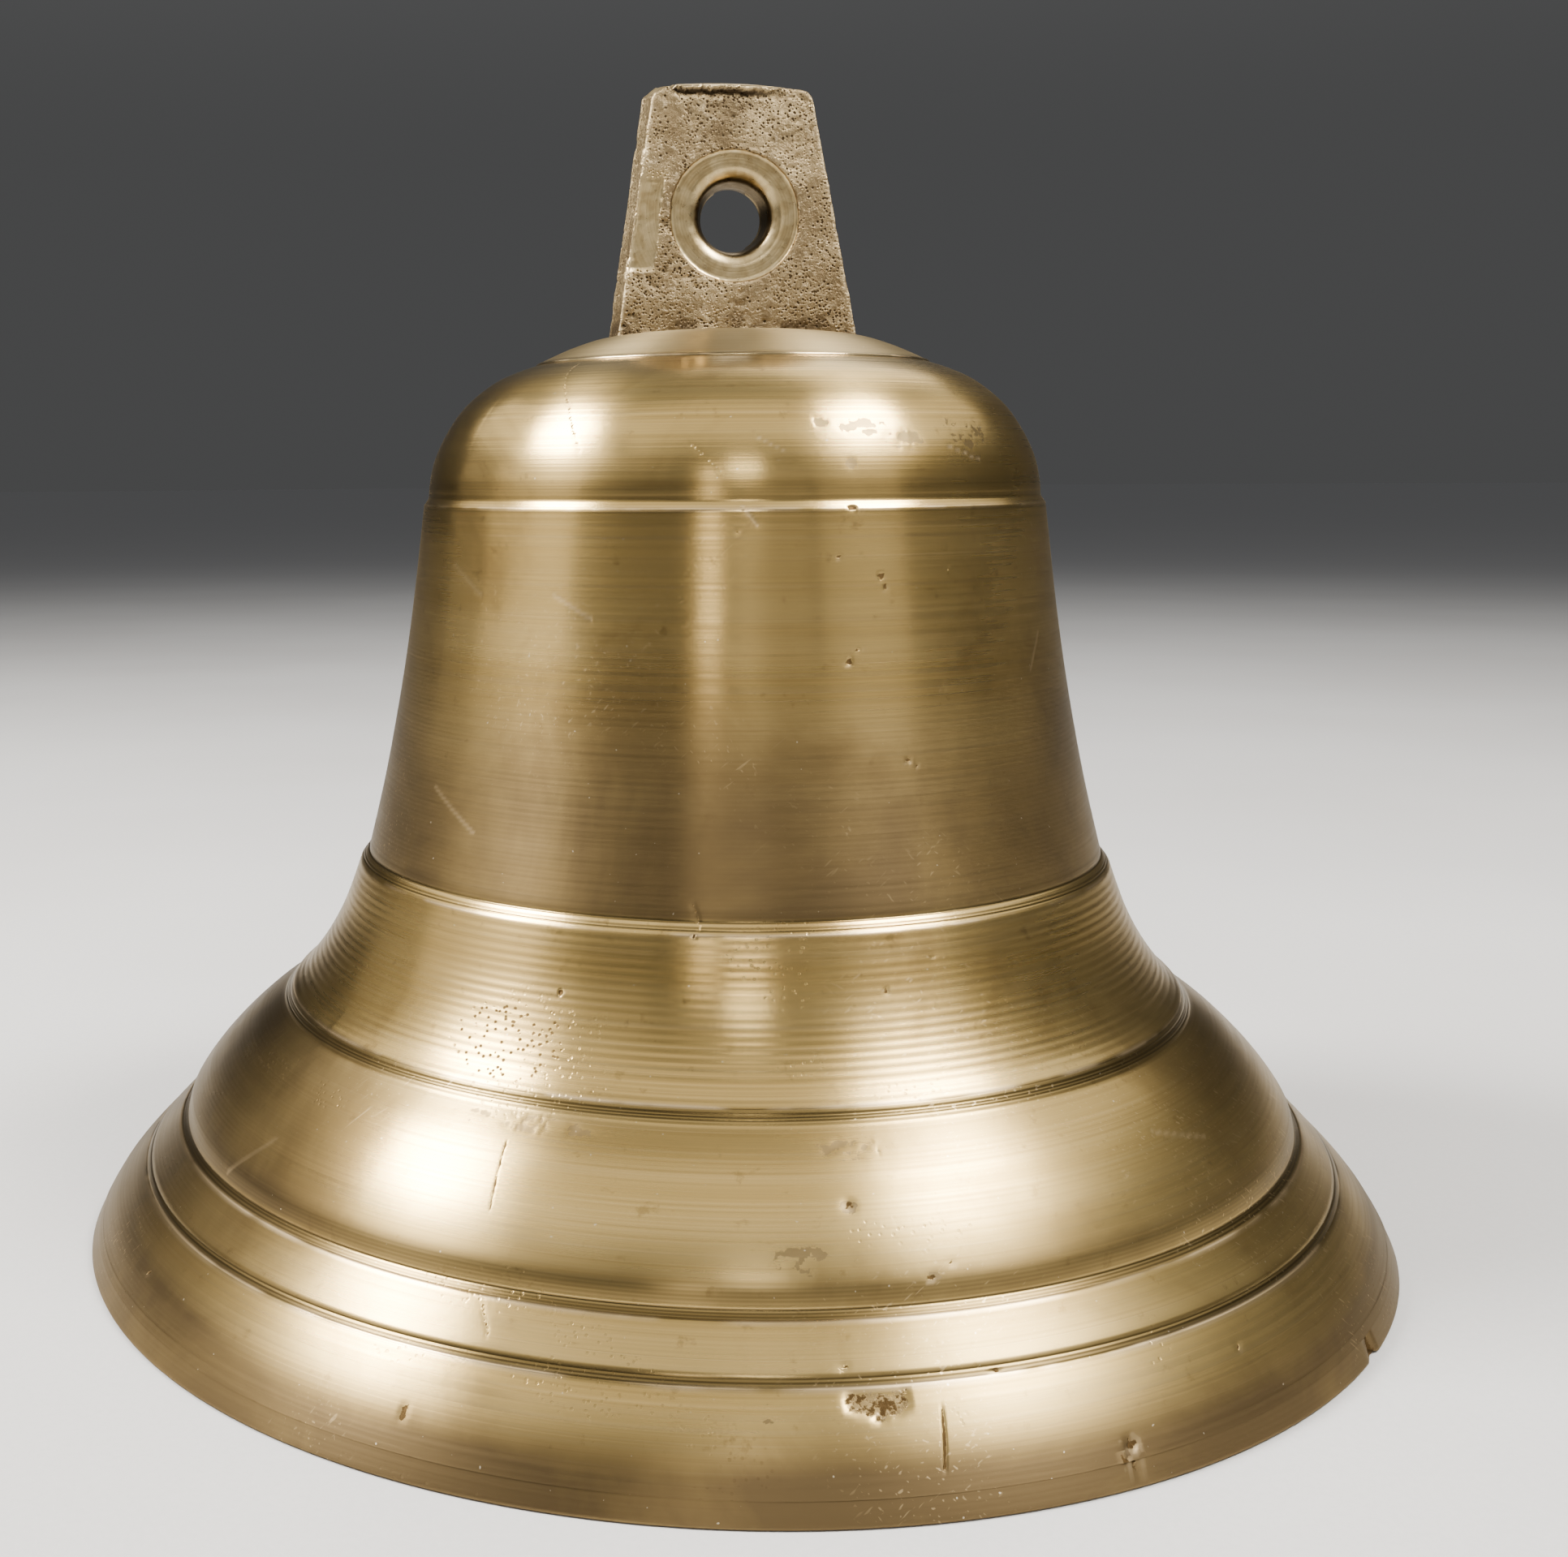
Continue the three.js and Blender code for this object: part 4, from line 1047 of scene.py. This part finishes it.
def make_staple():
    """A fork that is round at the foot, and the stem above it."""
    half = 6.4
    arc = [(half * math.cos(a), PIVOT + half * math.sin(a)) for a in np.linspace(math.pi, 2 * math.pi, 33)]
    staple = block_with_edges("crown_staple_fork", arc + [(half, FORK_TOP), (-half, FORK_TOP)], 6.7, 0.45)
    slot = [(-20, 95), (20, 95), (20, SLOT_TOP), (-20, SLOT_TOP)]
    joined(staple, block_with_edges("slot", slot, 3.3, 0.6), "DIFFERENCE")
    pivot_hole(staple, 20)
    shaded(staple)
    stem = threaded_bar("crown_staple_stem", 3.9, FORK_TOP - 0.5, 133.9, 1.25, 0.55)
    return staple, stem


def make_pivot_pin():
    head, tip = -7.0, 11.5
    pin = [(0, head - 2.4), (4.8, head - 2.4), (4.8, head), (3, head), (3, tip), (0, tip)]
    pin = crosswise("pivot_pin_turned", rounded(pin, [0, .7, .2, .1, .5, 0]), sharp=35)
    hole = [(0, 100), (1.1, 100), (1.1, 118), (0, 118)]
    joined(pin, turned_mesh("cross_hole", hole, 32, None, at=(0, SPLIT_PIN_AT, 0)), "DIFFERENCE")
    return shaded(pin)


def make_split_pin():
    """Round wire: an eye over the pin, both legs through it, and the ends bent apart below."""
    curve = bpy.data.curves.new("split_pin_wire", "CURVE")
    curve.dimensions = "3D"
    curve.bevel_depth = 0.44 * MM
    curve.bevel_resolution = 5
    curve.resolution_u = 6
    loop = [(1.62 * math.sin(a), 5.35 - 1.62 * math.cos(a)) for a in np.radians(np.arange(28, 333, 19))]
    right = [(2.95, -5.6), (1.9, -4.75), (0.95, -3.95), (0.42, -3.0), (0.38, 0), (0.40, 2.9)]
    left = [(-x, z) for x, z in reversed(right)]
    left[-2:] = [(-1.7, -4.9), (-2.4, -5.9)]
    points = right + loop + left
    wire = curve.splines.new("POLY")
    smooth = spline([list(p) for p in points], 0.25)
    wire.points.add(len(smooth) - 1)
    for point, (x, z) in zip(wire.points, smooth):
        point.co = (x * MM, SPLIT_PIN_AT * MM, (PIVOT + z) * MM, 1)
    curve.use_fill_caps = True
    temporary = linked("split_pin_curve", curve)
    bpy.context.view_layer.update()
    mesh = bpy.data.meshes.new_from_object(temporary.evaluated_get(bpy.context.evaluated_depsgraph_get()))
    bpy.data.objects.remove(temporary)
    return shaded(linked("split_pin_wire", mesh), 50)


def make_shank():
    foot = [(0, 45), (3.7, 45), (4.4, 45.7), (4.4, 48), (3.95, 48.5), (3.95, 50.5), (4.25, 51.2)]
    taper = [(4.1, 60), (3.5, 80), (3.05, 96), (2.85, 105), (0, 105)]
    body = rounded(foot + taper, [0, .3, .3, .2, .2, .3, .5, 0, 0, 0, 0, 0])
    shank = turned_mesh("clapper_shank_bar", body, 96)
    side = [(5.7, -3), (6.2, -2.8), (6.4, -2.3), (6.4, 2.3), (6.2, 2.8), (5.7, 3)]
    joined(shank, crosswise("eye", [(0, -3), *side, (0, 3)]))
    pivot_hole(shank, 9)
    return shaded(shank), threaded_bar("clapper_shank_thread", 3.0, 11.4, 45.3, 1.0, 0.45)


def make_ball():
    size, centre, half_height = 13, 25.8, 12
    flat = math.asin(half_height / size)
    arc = [(size * math.cos(a), centre + size * math.sin(a)) for a in np.linspace(-flat, flat, 60)]

    def worn(turn, radius, height):
        """Two flats beaten on the sides that strike, and the marks of the tool."""
        strike = np.exp(-((height - 27.5) / 4.5) ** 2) * np.exp(-((np.sin(turn)) / 0.35) ** 2)
        tool = 0.012 * np.sin(height * 2 * math.pi / 0.8) * (radius > 5)
        return radius - 0.28 * strike - tool - 0.02 * (radius > 5), height
    profile = [(3.3, 13.9), (3.6, 13.8)] + arc + [(3.6, 37.8), (3.3, 37.7), (3.3, 13.9)]
    return turned_mesh("clapper_ball_turned", profile, 128, 40, worn)


def make_lanyard_eye():
    centre = 7.6
    collar = rounded([(0, 9.2), (2.9, 9.2), (4.9, 10.7), (4.9, 13.5), (0, 13.5)], [0, .3, .4, .35, 0])
    collar = turned_mesh("lanyard_eye_turned", collar, 96)
    ring = rounded([(0, -2.2), (4.4, -2.2), (4.4, 2.2), (0, 2.2)], [0, .7, .7, 0], 6)
    joined(collar, crosswise("ring", ring, height=centre))
    bore = rounded([(0, -6), (4, -3), (2.3, -1.5), (2.3, 1.5), (4, 3), (0, 6)], [0, 0, .6, .6, 0, 0], 6)
    joined(collar, crosswise("hole", bore, 64, height=centre), "DIFFERENCE")
    return shaded(collar)


def build():
    light, dark, brown = (0.605, 0.429, 0.159), (0.515, 0.354, 0.120), (0.28, 0.177, 0.057)
    outside = turned_brass("turned_brass", light, dark, brown, 0.26)
    fitting = machined("fitting_brass", (0.47, 0.35, 0.17), (0.28, 0.20, 0.09), 0.40)
    worn = machined("ball_brass", (0.58, 0.45, 0.24), (0.38, 0.28, 0.13), 0.32)
    steel = machined("stainless", (0.50, 0.49, 0.47), (0.30, 0.29, 0.28), 0.34)

    bell, inside = make_bell()
    dress(bell, outside, "bell", "turned_brass", "bell_casting")
    bell.data.materials.append(raw_brass("raw_brass"))
    bell.data.polygons.foreach_set("material_index", inside)
    dress(make_lug(), cast_brass("cast_brass"), "bell", "turned_brass")

    fork, stem = make_staple()
    dress(fork, fitting, "bell", "fitting_brass", "crown_staple")
    dress(stem, fitting, "bell", "fitting_brass")
    washer = turned_mesh("staple_washer_turned", ring_profile(4.2, 10.5, 124.9, 126.5, 0.25), 96)
    dress(washer, fitting, "bell", "fitting_brass", "staple_washer")
    dress(hex_nut("staple_nut_hex", 13, 4.2, 119.6, 124.6), fitting, "bell", "fitting_brass", "staple_nut")

    dress(make_pivot_pin(), steel, "bell", "stainless", "pivot_pin")
    washer = crosswise("pivot_washer_turned", ring_profile(3.1, 5.6, 7.0, 8.0, 0.15), sharp=40)
    dress(washer, steel, "bell", "stainless", "pivot_washer")
    dress(make_split_pin(), steel, "bell", "stainless", "split_pin")

    shank, thread = make_shank()
    dress(shank, fitting, "clapper", "fitting_brass", "clapper_shank")
    dress(thread, fitting, "clapper", "fitting_brass")
    dress(hex_nut("ball_nut_hex", 10, 3.3, 38.1, 42.7), fitting, "clapper", "fitting_brass", "ball_nut")
    dress(make_ball(), worn, "clapper", "ball_brass", "clapper_ball")
    dress(make_lanyard_eye(), fitting, "clapper", "fitting_brass", "lanyard_eye")


def make_floor():
    """A wide round sheet, so that its far edge is an even horizon from every side."""
    top, under, reach = -0.05, -4, 12000
    outline = [(0, under), (reach, under), (reach, top), (0.2 * reach, top), (0.04 * reach, top), (0, top)]
    floor = turned_mesh("floor", outline)
    floor.data.materials.append(floor_material())


place_camera()
light_the_scene()
make_floor()
build()
